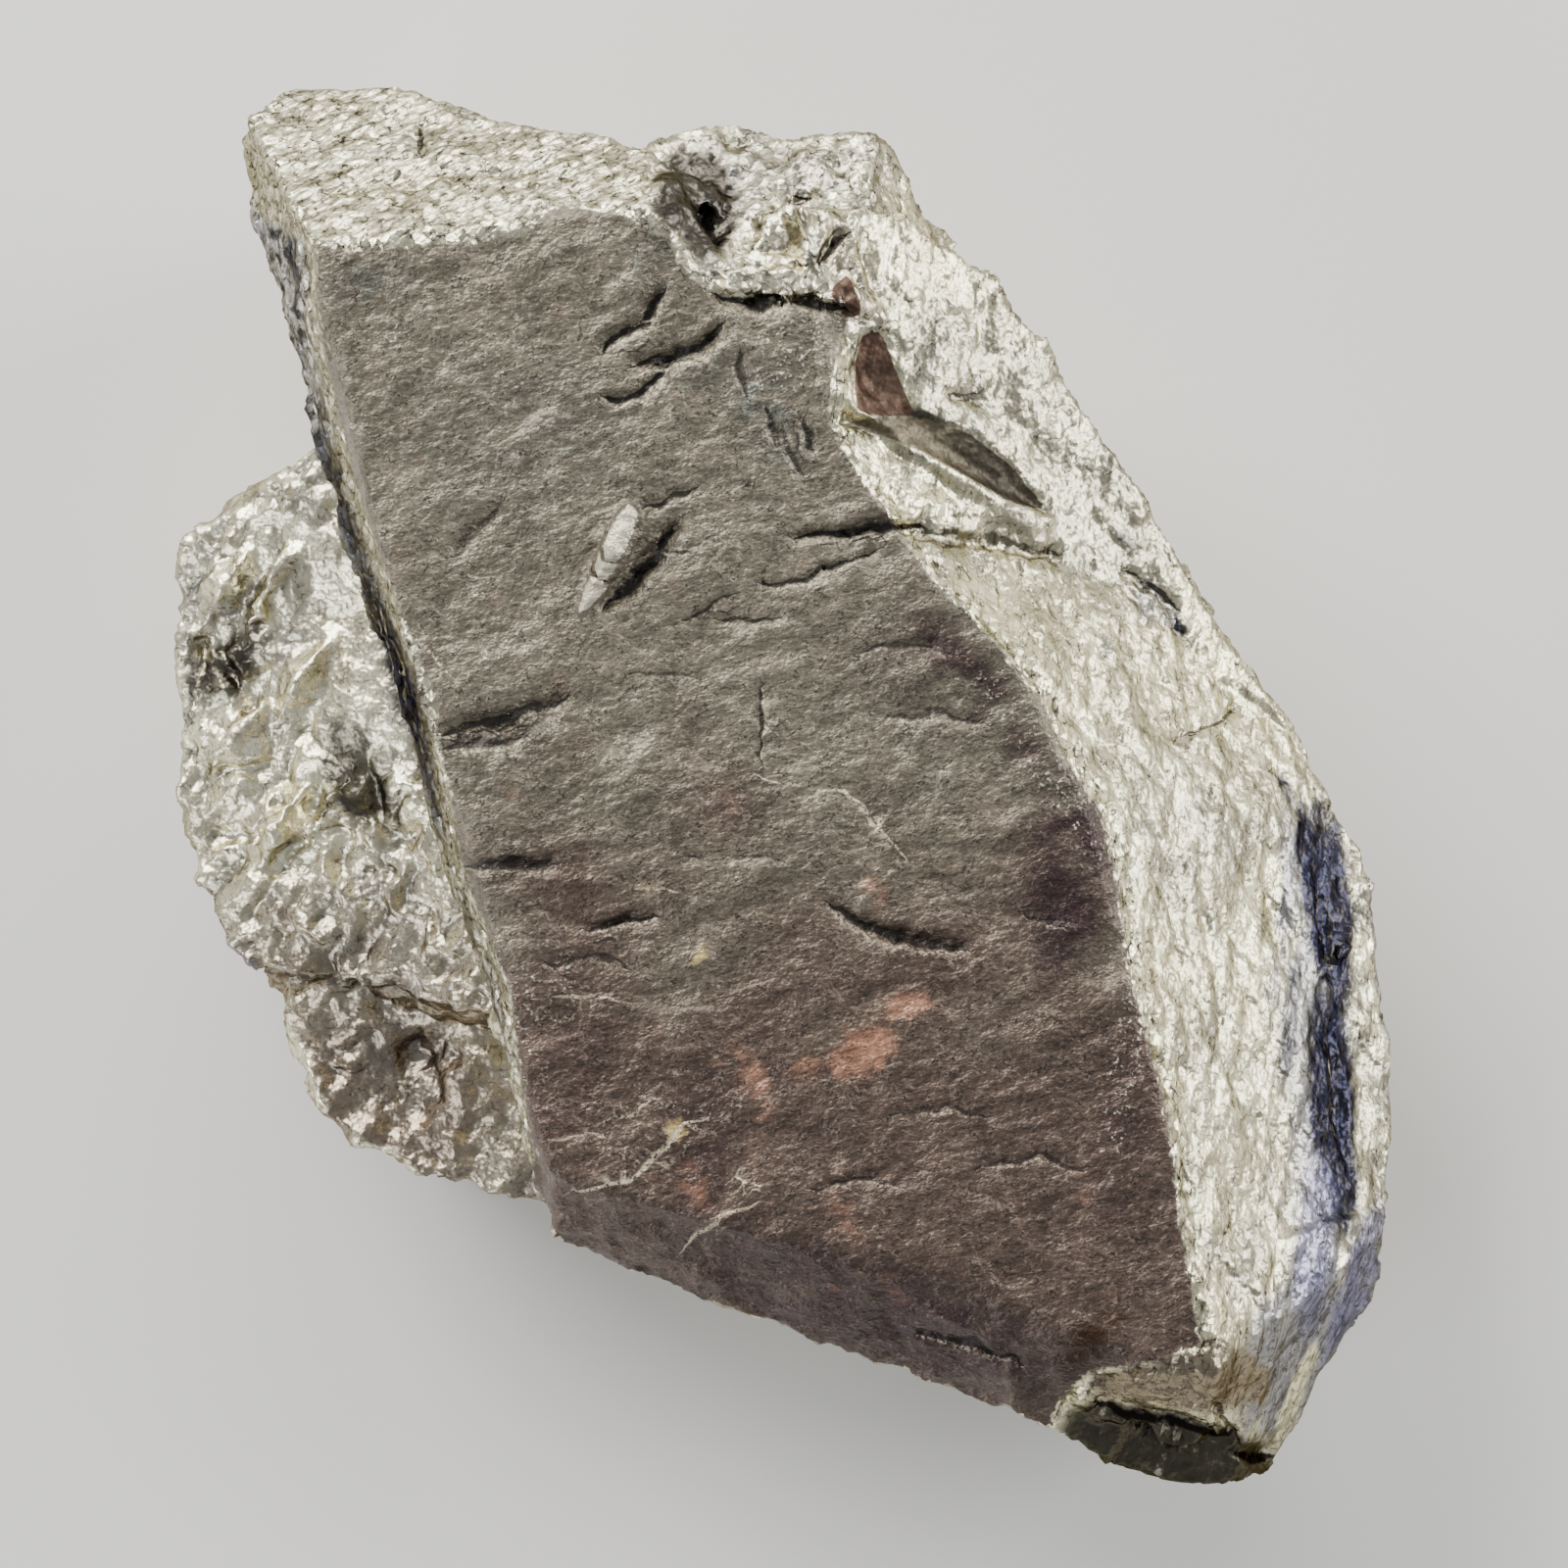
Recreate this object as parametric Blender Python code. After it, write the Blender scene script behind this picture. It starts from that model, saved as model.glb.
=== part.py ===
"""A pyrite cluster lying on its broken back, as one grown-together solid.

Shapes are worked out in millimetres and the finished mesh is brought to metres at the end.
A crystal starts as a cube and every face of it is one plane cut. A face is given by a point that
it passes through, the compass direction that it faces (degrees counter-clockwise from +X) and its
dip (0 faces up, 90 is upright, more than 90 leans inwards towards the base).
"""

import math

import bmesh
import bpy
from mathutils import Matrix, Vector, noise

MILLIMETRE = 0.001

# Driving dimensions, in millimetres
FACE_HEIGHT = 27.0  # the dark face above the table, at the middle of the cluster
LUMP_HEIGHT = 14.8  # the left-hand crystal above the table, beside the main one
BLANK = 120.0  # side of the cube that a crystal is cut from
ROOT_DEPTH = 3.0  # crystals reach this far below the table until the base is cut flat
CELL = 2.3  # mesh size on the finished surface
SLICE_DIRECTIONS = ((15, 84), (101, 80), (60, 12))  # facing and dip of the three sets of slices
RIM_LIFT = 0.12  # a groove's widest level lies this share of its depth above the face

# Relief of the surfaces, in millimetres, and the plan direction that it is drawn out in
DARK_RELIEF = 0.28
LUMP_RELIEF = 0.75
FACE_RELIEF = 0.30
BROKEN_RELIEF = 0.60
RIPPLE_TURN = 12.0
RIDGE_TURN = 55.0
STRIATION_TURN = -75.0
DARK_RIM = 0.6  # a point this close under the dark face belongs to it
WAIST_HEIGHT = 14.0  # below this the surface is broken rock, above it are crystal faces
LUMP_FOOT = 3.0
BASE_FADE = 2.5  # relief reaches its full height this far above the table
TABLE_GAP = 0.02  # a point lower than this lies on the table

PYRITE_COLOUR = (0.62, 0.58, 0.47, 1.0)
PYRITE_ROUGHNESS = 0.32
PYRITE_METALLIC = 1.0

# Faces: a point on the face, the direction it faces, its dip
DARK_FACE = ((0.0, 0.0, FACE_HEIGHT), -61.4, 3.6)
LOWER_RIGHT_FACE = ((15.3, -13.4, 25.8), 10.3, 47)
UPPER_RIGHT_FACE = ((6.6, 8.0, 27.3), 35.2, 48)
SHOULDER_FACE = ((1.8, 14.8, 28.2), 8, 35)
BLOCK_TOP = ((-0.1, 19.6, 28.4), 88, 38)
TOP_LEFT_FACE = ((-13.0, 22.6, 28.6), 95, 50)
FOOT_TOP = ((17.0, -27.6, 20.0), -70, 30)
LUMP_TOP = ((-19.0, 2.0, LUMP_HEIGHT), 190, 22)
LOBE_TOP = ((-16.0, -11.0, 12.6), 205, 14)

MAIN_CRYSTAL = {
    "dark face": DARK_FACE,
    "top left face": TOP_LEFT_FACE,
    "top left back": ((-17.8, 29.2, 20.2), 86, 103),
    "top left corner": ((-21.9, 27.9, 21.6), 140, 96),
    "top back": ((-10.1, 26.9, 22.6), 67, 104),
    "left bevel": ((-19.2, 22.0, 28.8), 189, 74),
    "lower left bevel": ((-14.7, 3.5, 27.6), 196, 76),
    "left wall": ((-17.3, 7.7, 23.5), 196.7, 93),
    "upper right face": UPPER_RIGHT_FACE,
    "middle right face": ((12.5, -1.4, 26.5), 23, 49),
    "lower right face": LOWER_RIGHT_FACE,
    "upper right wall": ((17.2, 9.0, 17.0), 39, 101),
    "middle right wall": ((23.2, 0.8, 16.0), 26.3, 102),
    "lower right wall": ((26.0, -9.5, 15.5), 5.8, 101),
    "right heel": ((25.8, -18.5, 15.5), -7.4, 100),
    "right toe": ((22.8, -26.5, 16.0), -30.4, 99),
    "toe facet": ((21.9, -23.6, 18.2), -27, 64),
    "bottom bevel": ((3.6, -23.4, 25.6), -111.8, 54),
    "bottom wall": ((3.0, -24.1, 23.5), -111.8, 101),
    "bottom left corner": ((-9.2, -17.0, 26.0), -135, 58),
    "bottom left wall": ((-10.0, -18.9, 23.0), -142, 97),
    "bottom right facet": ((14.7, -23.4, 25.3), -105, 47),
    "bottom right wall": ((14.7, -26.6, 20.5), -98, 98),
    "right under side": ((19.4, -8.0, 0.0), 8, 130),
    "upper right under side": ((12.6, 12.4, 0.0), 40, 122),
    "back under side": ((-9.0, 20.6, 0.0), 76, 128),
    "bottom under side": ((3.0, -18.2, 0.0), -112, 124),
    "toe under side": ((17.0, -22.6, 0.0), -42, 128),
}

UPPER_BLOCK = {
    "block top": BLOCK_TOP,
    "block riser": ((-0.2, 19.5, 28.0), -93, 78),
    "block right": ((2.8, 19.3, 28.2), 20, 58),
    "block left": ((-4.2, 22.4, 27.5), 211, 72),
    "block left back": ((-4.6, 26.4, 22.5), 122, 100),
    "block back": ((0.0, 27.0, 22.7), 90, 103),
    "block right back": ((5.6, 24.3, 20.0), 36, 102),
}

SHOULDER = {
    "shoulder face": SHOULDER_FACE,
    "shoulder riser": ((2.0, 15.5, 28.3), 188, 62),
    "shoulder ledge": ((6.5, 12.6, 24.5), -112, 68),
    "shoulder back": ((4.8, 22.6, 21.0), 62, 102),
    "shoulder wall": ((10.0, 18.3, 20.0), 39.7, 104),
    "shoulder inside": ((0.0, 23.5, 10.0), 90, 90),
}

# The dark face runs on past the upper right face to the foot of the shoulder
CORNER = {
    "corner top": ((0.0, 0.0, 26.87), -61.4, 3.6),
    "corner right": ((2.1, 15.5, 27.9), 4, 84),
    "corner back": ((0.0, 20.8, 27.0), 90, 92),
    "corner left": ((-5.0, 18.0, 27.0), 180, 92),
    "corner front": ((0.0, 12.0, 27.0), -90, 92),
    "corner bottom": ((0.0, 0.0, 16.0), 0, 180),
}

FOOT = {
    "foot top": FOOT_TOP,
    "foot left": ((13.9, -28.3, 18.0), -125, 96),
    "foot bottom": ((18.0, -29.4, 17.5), -95, 97),
    "foot right": ((22.3, -27.3, 16.5), -33, 98),
    "foot flank": ((15.6, -13.4, 25.8), 10.3, 47),
    "foot heel": ((25.8, -18.5, 15.5), -7.4, 100),
    "foot facet": ((22.1, -23.7, 18.4), -27, 64),
    "foot inside": ((15.0, -20.0, 10.0), 100, 90),
    "foot inside left": ((9.0, -22.0, 10.0), 190, 90),
}

LEFT_LUMP = {
    "lump top": LUMP_TOP,
    "lump left": ((-26.2, 4.0, 11.5), 178, 101),
    "lump upper left": ((-25.2, 10.6, 11.5), 140, 99),
    "lump back": ((-22.6, 12.4, 12.0), 117, 98),
    "lump lower left": ((-25.7, -2.5, 11.3), 193, 100),
    "lump corner": ((-23.9, -6.3, 11.3), 217, 98),
    "lump ledge": ((-19.5, -8.9, 12.0), -103, 80),
    "lump under side": ((-21.4, 2.0, 0.0), 184, 126),
    "lump inside": ((-13.0, 7.7, 10.0), 16.7, 90),
}

LOBE = {
    "lobe top": LOBE_TOP,
    "lobe left": ((-21.3, -10.2, 10.3), 180, 99),
    "lobe lower left": ((-20.3, -13.0, 10.3), 207, 98),
    "lobe corner": ((-18.2, -15.3, 10.3), 241, 99),
    "lobe bottom": ((-14.0, -16.7, 10.3), 256, 100),
    "lobe under side": ((-17.0, -12.0, 0.0), 222, 124),
    "lobe inside": ((-7.0, -12.0, 10.0), 20, 90),
    "lobe inside back": ((-14.0, 0.0, 10.0), 100, 90),
}

CRYSTALS = {
    "main_crystal": MAIN_CRYSTAL,
    "upper_block": UPPER_BLOCK,
    "shoulder": SHOULDER,
    "corner": CORNER,
    "foot": FOOT,
    "left_lump": LEFT_LUMP,
    "lobe": LOBE,
}

# Cubes grown into the walls under the overhang: centre, side, turn about X, Y and Z in degrees
GROWN_IN_CUBES = {
    "back_cube": ((-12.0, 20.0, 6.0), 13.0, (7, -9, 2)),
    "back_small_cube": ((-1.5, 19.2, 11.0), 9.0, (-12, 8, -22)),
    "right_cube": ((10.8, 6.0, 5.0), 12.0, (6, 8, 37)),
    "right_small_cube": ((19.0, -6.5, 7.0), 9.0, (-8, 12, 8)),
    "heel_cube": ((15.6, -19.0, 4.0), 12.0, (-7, 7, -8)),
    "bottom_cube": ((1.5, -16.5, 6.0), 10.0, (8, -6, -22)),
    "left_cube": ((-13.0, -10.0, 3.0), 9.0, (-6, -9, 30)),
}

# Grooves and pits: the face, start and end in plan, width, depth
GROOVES = {
    "upper_ledge": (DARK_FACE, (-7.4, 17.7), (-5.5, 18.9), 0.55, 0.6),
    "upper_ledge_tail": (DARK_FACE, (-5.8, 18.4), (-5.1, 20.3), 0.3, 0.3),
    "second_ledge": (DARK_FACE, (-6.2, 17.0), (-3.4, 17.8), 0.6, 0.7),
    "second_ledge_tail": (DARK_FACE, (-3.8, 17.4), (-2.5, 18.7), 0.45, 0.5),
    "hook": (DARK_FACE, (-7.3, 15.6), (-5.8, 15.8), 0.4, 0.4),
    "hook_tail": (DARK_FACE, (-6.2, 15.6), (-4.7, 17.1), 0.4, 0.4),
    "block_crack": (DARK_FACE, (-2.8, 20.1), (0.4, 19.6), 0.7, 0.9),
    "block_crack_right": (DARK_FACE, (-0.4, 19.6), (2.6, 19.5), 0.6, 0.8),
    "right_slot": (DARK_FACE, (0.4, 10.2), (5.8, 10.7), 0.6, 0.8),
    "middle_crack": (DARK_FACE, (-0.9, 8.0), (4.0, 9.7), 0.4, 0.35),
    "left_hollow": (DARK_FACE, (-14.2, 2.6), (-9.0, 2.4), 1.5, 0.6),
    "left_hollow_low": (DARK_FACE, (-12.6, 1.6), (-7.6, 3.4), 1.0, 0.4),
    "left_band": (DARK_FACE, (-13.0, -3.4), (-9.2, -3.0), 0.9, 0.4),
    "right_band": (DARK_FACE, (1.8, -5.8), (8.4, -6.6), 1.1, 0.5),
    "low_band": (DARK_FACE, (-8.0, -5.7), (-5.0, -5.4), 0.7, 0.4),
    "flake_shadow": (DARK_FACE, (-4.7, 10.6), (-7.1, 7.3), 0.8, 0.8),
    "top_left_step": (TOP_LEFT_FACE, (-18.9, 25.0), (-9.6, 25.4), 0.9, 0.35),
    "top_left_pit": (TOP_LEFT_FACE, (-15.3, 27.0), (-14.1, 27.3), 0.9, 0.4),
    "facet_notch": (SHOULDER_FACE, (3.0, 18.3), (4.8, 14.9), 2.0, 0.7),
    "blade_shadow": (SHOULDER_FACE, (4.0, 15.0), (11.0, 11.5), 1.7, 0.7),
    "ledge_shadow": (UPPER_RIGHT_FACE, (5.8, 10.4), (11.4, 9.4), 0.6, 0.5),
    "right_pit": (UPPER_RIGHT_FACE, (13.4, 8.5), (16.4, 6.9), 0.9, 0.6),
    "right_crack": (UPPER_RIGHT_FACE, (16.2, 1.9), (19.0, 3.2), 0.4, 0.4),
    "block_dark_patch": (BLOCK_TOP, (-4.1, 24.6), (-2.2, 21.2), 2.0, 0.7),
    "block_pit": (BLOCK_TOP, (0.2, 24.5), (1.4, 24.0), 0.9, 0.6),
    "block_low_pit": (BLOCK_TOP, (1.5, 22.4), (2.5, 21.3), 1.0, 0.8),
    "block_corner_pit": (BLOCK_TOP, (2.2, 20.6), (3.1, 19.6), 0.9, 0.7),
    "upper_streak": (LOWER_RIGHT_FACE, (22.6, -1.9), (23.5, -10.4), 1.5, 0.7),
    "lower_streak": (LOWER_RIGHT_FACE, (23.1, -9.6), (24.2, -18.8), 1.6, 0.8),
    "long_stria": (LOWER_RIGHT_FACE, (16.8, 0.6), (18.8, -14.3), 1.2, 0.3),
    "outer_stria": (LOWER_RIGHT_FACE, (20.0, 0.6), (21.8, -12.4), 1.0, 0.3),
    "lump_upper_pit": (LUMP_TOP, (-25.0, 6.6), (-22.6, 3.0), 1.7, 0.8),
    "lump_inner_pit": (LUMP_TOP, (-18.3, 2.8), (-16.8, -3.4), 1.7, 0.9),
    "lobe_pocket": (LOBE_TOP, (-17.1, -10.4), (-14.4, -13.8), 2.8, 1.1),
    "foot_hollow": (FOOT_TOP, (13.8, -26.5), (18.8, -28.3), 1.8, 1.0),
}

# Flakes and ribs: the face, start and end in plan, width, height
RIBS = {
    "flake": (DARK_FACE, (-6.1, 11.4), (-7.9, 7.5), 0.9, 0.8),
    "right_rib": (LOWER_RIGHT_FACE, (22.4, -8.6), (24.6, -5.8), 0.9, 0.6),
    "block_lump": (BLOCK_TOP, (-1.5, 21.6), (0.6, 23.6), 1.8, 0.8),
    "block_back_lump": (BLOCK_TOP, (0.4, 25.6), (2.6, 24.6), 1.6, 0.7),
}

# The left-hand crystal carries ridges that all run one way: the middle of each in plan
LUMP_RIDGES = ((-24.3, 8.0), (-21.6, 8.6), (-23.4, 2.2), (-20.6, 4.4), (-21.4, -1.8), (-19.2, -0.6), (-20.6, -6.0))
LUMP_RIDGE_LENGTH = 5.0
LUMP_RIDGE_WIDTH = 2.0
LUMP_RIDGE_HEIGHT = 0.9


def plane_normal(facing, dip):
    turn, lean = math.radians(facing), math.radians(dip)
    return Vector((math.sin(lean) * math.cos(turn), math.sin(lean) * math.sin(turn), math.cos(lean)))


def on_face(face, x, y):
    """The point of a face above or below the plan position x, y."""
    point, facing, dip = face
    normal = plane_normal(facing, dip)
    rise = (normal.x * (x - point[0]) + normal.y * (y - point[1])) / normal.z
    return Vector((x, y, point[2] - rise))


def cut_away(bm, point, normal):
    """Remove what lies outside a plane and close the cut with one flat face."""
    cut = bmesh.ops.bisect_plane(
        bm, geom=bm.verts[:] + bm.edges[:] + bm.faces[:], dist=1e-5,
        plane_co=point, plane_no=normal, clear_outer=True,
    )
    rim = [e for e in cut["geom_cut"] if isinstance(e, bmesh.types.BMEdge)]
    if rim:
        bmesh.ops.edgeloop_fill(bm, edges=rim)


def new_object(name, bm, collection):
    bmesh.ops.recalc_face_normals(bm, faces=bm.faces)
    mesh = bpy.data.meshes.new(name)
    bm.to_mesh(mesh)
    bm.free()
    obj = bpy.data.objects.new(name, mesh)
    collection.objects.link(obj)
    return obj


def crystal(name, faces, collection):
    bm = bmesh.new()
    bmesh.ops.create_cube(bm, size=BLANK)
    for point, facing, dip in faces.values():
        cut_away(bm, Vector(point), plane_normal(facing, dip))
    cut_away(bm, Vector((0, 0, -ROOT_DEPTH)), Vector((0, 0, -1)))
    return new_object(name, bm, collection)


def grown_in_cube(name, centre, side, turn, collection):
    bm = bmesh.new()
    bmesh.ops.create_cube(bm, size=side)
    rx, ry, rz = (math.radians(a) for a in turn)
    place = (
        Matrix.Translation(centre)
        @ Matrix.Rotation(rz, 4, "Z")
        @ Matrix.Rotation(ry, 4, "Y")
        @ Matrix.Rotation(rx, 4, "X")
    )
    bmesh.ops.transform(bm, matrix=place, verts=bm.verts)
    return new_object(name, bm, collection)


def sliver(name, start, end, width, depth, up, collection):
    """A four-sided spindle along a face, pointed at both ends: a groove when cut, a flake when joined."""
    bm = bmesh.new()
    bmesh.ops.create_uvsphere(bm, u_segments=4, v_segments=2, radius=1.0)
    along = (end - start) / 2
    across = up.cross(along).normalized()
    axes = Matrix((along, across * width / 2, up * depth)).transposed().to_4x4()
    middle = (start + end) / 2 + up * depth * RIM_LIFT
    bmesh.ops.transform(bm, matrix=Matrix.Translation(middle) @ axes, verts=bm.verts)
    return new_object(name, bm, collection)


def spindle(name, face, start, end, width, depth, collection):
    up = plane_normal(face[1], face[2])
    return sliver(name, on_face(face, *start), on_face(face, *end), width, depth, up, collection)


def lump_ridge(name, middle, collection):
    turn = math.radians(RIDGE_TURN)
    reach = Vector((math.cos(turn), math.sin(turn))) * LUMP_RIDGE_LENGTH / 2
    start, end = Vector(middle) - reach, Vector(middle) + reach
    return spindle(name, LUMP_TOP, start, end, LUMP_RIDGE_WIDTH, LUMP_RIDGE_HEIGHT, collection)


def stretched_noise(co, turn, along, across, seed):
    """Smooth noise from -1 to 1 whose lumps are drawn out in the plan direction turn."""
    c, s = math.cos(math.radians(turn)), math.sin(math.radians(turn))
    u, v = co.x * c + co.y * s, co.y * c - co.x * s
    return noise.fractal(Vector((u / along, v / across, co.z / across + seed)), 1.0, 2.0, 3)


def relief(co, normal):
    """How far a point of the surface stands proud of its flat crystal face, in millimetres."""
    if on_face(DARK_FACE, co.x, co.y).z - co.z < DARK_RIM and normal.z > 0.9:
        ripples = stretched_noise(co, RIPPLE_TURN, 5.0, 2.2, 0.0)
        return DARK_RELIEF * ripples
    if co.x < on_wall(co.y) and co.z > LUMP_FOOT:
        return LUMP_RELIEF * stretched_noise(co, RIDGE_TURN, 4.5, 2.0, 7.0)
    if co.z > WAIST_HEIGHT:
        return FACE_RELIEF * stretched_noise(co, STRIATION_TURN, 6.0, 2.4, 3.0)
    return BROKEN_RELIEF * stretched_noise(co, 0.0, 4.0, 4.0, 5.0)


def on_wall(y):
    """The X of the main crystal's left wall at y, where the left-hand crystals begin."""
    point, facing, dip = MAIN_CRYSTAL["left wall"]
    return point[0] - (y - point[1]) * math.tan(math.radians(facing - 180))


def refine(bm):
    """Slice the surface into small cells, so that relief can bend each crystal face."""
    for facing, dip in SLICE_DIRECTIONS:
        normal = plane_normal(facing, dip)
        reach = [v.co.dot(normal) for v in bm.verts]
        steps = int((max(reach) - min(reach)) / CELL)
        for step in range(1, steps + 1):
            bmesh.ops.bisect_plane(
                bm, geom=bm.verts[:] + bm.edges[:] + bm.faces[:], dist=1e-3,
                plane_co=normal * (min(reach) + CELL * step), plane_no=normal,
            )
    bmesh.ops.triangulate(bm, faces=bm.faces)
    bm.normal_update()


def on_table(vert):
    return vert.co.z < TABLE_GAP


def roughen(bm):
    """Push the surface out and in by its relief, which dies out towards the flat base."""
    rises = [relief(v.co, v.normal) * min(1.0, v.co.z / BASE_FADE) * v.normal for v in bm.verts]
    for vert, rise in zip(bm.verts, rises):
        if not on_table(vert):
            vert.co += rise
            vert.co.z = max(vert.co.z, 2 * TABLE_GAP)


def boolean(target, other, operation):
    modifier = target.modifiers.new(other.name, "BOOLEAN")
    modifier.operation = operation
    modifier.object = other
    modifier.solver = "EXACT"


def apply_modifiers(obj):
    graph = bpy.context.evaluated_depsgraph_get()
    shaped = bpy.data.meshes.new_from_object(obj.evaluated_get(graph))
    obj.modifiers.clear()
    obj.data = shaped


def pyrite_material():
    material = bpy.data.materials.new("pyrite")
    material.use_nodes = True
    shader = material.node_tree.nodes["Principled BSDF"]
    shader.inputs["Base Color"].default_value = PYRITE_COLOUR
    shader.inputs["Roughness"].default_value = PYRITE_ROUGHNESS
    shader.inputs["Metallic"].default_value = PYRITE_METALLIC
    material.diffuse_color = PYRITE_COLOUR
    return material


def main():
    for obj in list(bpy.data.objects):
        bpy.data.objects.remove(obj)
    coll = bpy.data.collections.new("pyrite_cluster")
    bpy.context.scene.collection.children.link(coll)
    tools = bpy.data.collections.new("cutters")
    bpy.context.scene.collection.children.link(tools)
    grown = [crystal(name, faces, tools) for name, faces in CRYSTALS.items()]
    grown += [grown_in_cube(name, *cube, tools) for name, cube in GROWN_IN_CUBES.items()]
    grown += [spindle(name, *rib, tools) for name, rib in RIBS.items()]
    grown += [lump_ridge(f"lump_ridge_{i}", middle, tools) for i, middle in enumerate(LUMP_RIDGES)]
    cuts = [spindle(name, *values, tools) for name, values in GROOVES.items()]
    body = grown[0].copy()
    body.name = "pyrite_cluster"
    coll.objects.link(body)
    for other in grown[1:]:
        boolean(body, other, "UNION")
    for other in cuts:
        boolean(body, other, "DIFFERENCE")
    for other in grown + cuts:
        other.hide_render = True
        other.display_type = "WIRE"
    apply_modifiers(body)
    for other in grown + cuts:
        bpy.data.objects.remove(other)
    bm = bmesh.new()
    bm.from_mesh(body.data)
    cut_away(bm, Vector((0, 0, 0)), Vector((0, 0, -1)))
    refine(bm)
    roughen(bm)
    bmesh.ops.dissolve_faces(bm, faces=[f for f in bm.faces if all(on_table(v) for v in f.verts)])
    bm.to_mesh(body.data)
    bm.free()
    corners = [Vector(corner) for corner in body.bound_box]
    middle = (corners[0] + corners[6]) / 2
    body.data.transform(Matrix.Translation((-middle.x, -middle.y, 0.0)))
    body.data.transform(Matrix.Scale(MILLIMETRE, 4))
    body.data.materials.append(pyrite_material())


main()
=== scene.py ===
import math

import bmesh
import bpy
import numpy as np
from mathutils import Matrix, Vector, kdtree


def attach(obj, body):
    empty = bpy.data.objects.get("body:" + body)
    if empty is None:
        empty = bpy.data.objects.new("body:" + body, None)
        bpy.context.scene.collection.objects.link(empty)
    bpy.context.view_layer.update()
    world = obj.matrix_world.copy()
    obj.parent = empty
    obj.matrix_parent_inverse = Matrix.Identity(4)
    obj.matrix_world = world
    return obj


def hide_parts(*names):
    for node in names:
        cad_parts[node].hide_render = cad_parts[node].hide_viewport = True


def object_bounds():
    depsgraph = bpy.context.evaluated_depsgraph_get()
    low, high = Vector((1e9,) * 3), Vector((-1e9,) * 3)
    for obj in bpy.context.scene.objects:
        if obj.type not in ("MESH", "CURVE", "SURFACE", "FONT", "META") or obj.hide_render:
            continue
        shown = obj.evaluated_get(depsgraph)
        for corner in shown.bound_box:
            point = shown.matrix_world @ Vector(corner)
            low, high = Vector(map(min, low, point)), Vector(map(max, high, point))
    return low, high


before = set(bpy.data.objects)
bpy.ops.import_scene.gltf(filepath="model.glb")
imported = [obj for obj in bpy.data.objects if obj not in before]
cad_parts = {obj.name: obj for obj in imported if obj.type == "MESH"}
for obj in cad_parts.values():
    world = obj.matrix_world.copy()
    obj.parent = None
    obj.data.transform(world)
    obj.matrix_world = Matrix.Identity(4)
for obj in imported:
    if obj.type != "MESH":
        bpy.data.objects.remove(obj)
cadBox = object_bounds()
print("frame loaded")

mm = 0.001
centreShift = np.array((0.17, 0.22, 0.0))  # what centring the part on its base added, mm
eyeHeight = 267.0  # camera above the table, mm
faceHeight = 27.0  # the dark face above the table, mm
viewMiddle = 800  # steps from the edge of the view to its middle, under the camera
viewStep = 0.04  # mm at the height of the dark face

# Outlines, cracks and veins are laid out on the view from straight above, in steps across and
# down from its upper left corner. Other places seen from above are in mm at the height of the
# dark face, with 0, 0 under the camera.

# Outlines of the differently finished surfaces, in steps
outlineSteps = {
    "dark": [
        (320, 250), (370, 258), (430, 250), (500, 246), (535, 240), (545, 225), (570, 210),
        (605, 212), (640, 222), (680, 245), (700, 280), (735, 300), (760, 312), (800, 305),
        (862, 312), (860, 340), (845, 400), (845, 430), (862, 465), (880, 490), (910, 530),
        (950, 590), (1000, 640), (1060, 710), (1085, 770), (1125, 835), (1140, 900), (1150, 980),
        (1165, 1040), (1185, 1110), (1195, 1170), (1205, 1260), (1225, 1370), (1160, 1392),
        (1110, 1400), (1085, 1425), (1060, 1480), (1000, 1445), (850, 1390), (740, 1355),
        (640, 1330), (590, 1295), (550, 1250), (530, 1205), (545, 1190), (530, 1080), (520, 1010),
        (500, 960), (470, 880), (455, 790), (440, 700), (395, 590), (365, 500), (345, 420),
        (325, 330),
    ],
    "topLeft": [
        (240, 110), (300, 70), (450, 80), (560, 120), (660, 150), (665, 187), (680, 245),
        (640, 222), (605, 212), (570, 210), (545, 225), (535, 240), (500, 246), (430, 250),
        (370, 258), (320, 250), (262, 215),
    ],
    "strip": [
        (250, 190), (262, 215), (320, 250), (325, 330), (345, 420), (365, 500), (395, 590),
        (440, 700), (455, 790), (470, 880), (500, 960), (520, 1010), (530, 1080), (545, 1190),
        (530, 1140), (518, 1080), (490, 975), (465, 905), (440, 835), (420, 765), (395, 695),
        (370, 615), (345, 545), (325, 475), (290, 390), (265, 290), (240, 220),
    ],
    "block": [
        (655, 190), (670, 140), (720, 128), (820, 128), (890, 140), (905, 175), (890, 215),
        (875, 260), (905, 330), (862, 345), (862, 312), (800, 305), (760, 312), (735, 300),
        (700, 280), (680, 245),
    ],
    "blade": [
        (850, 432), (900, 425), (940, 425), (990, 442), (1030, 472), (1065, 515), (1072, 522),
        (1030, 512), (985, 485), (940, 460), (900, 445),
    ],
    "wedge": [
        (846, 432), (905, 428), (950, 452), (1000, 484), (1060, 523), (1075, 533), (1058, 540),
        (1000, 527), (932, 516), (887, 482), (850, 452),
    ],
    "redFacet": [
        (880, 340), (899, 338), (917, 385), (935, 424), (902, 424), (876, 421), (870, 378),
    ],
    "redPit": [
        (847, 295), (865, 277), (880, 310), (877, 322), (850, 327),
    ],
    "flake": [
        (642, 515), (650, 526), (638, 560), (628, 575), (616, 602), (600, 621), (591, 624),
        (606, 584), (618, 554), (630, 530),
    ],
    "bottomFacet": [
        (1110, 1400), (1160, 1392), (1225, 1370), (1250, 1368), (1300, 1400), (1290, 1432),
        (1240, 1440), (1170, 1432), (1120, 1425),
    ],
}

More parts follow.
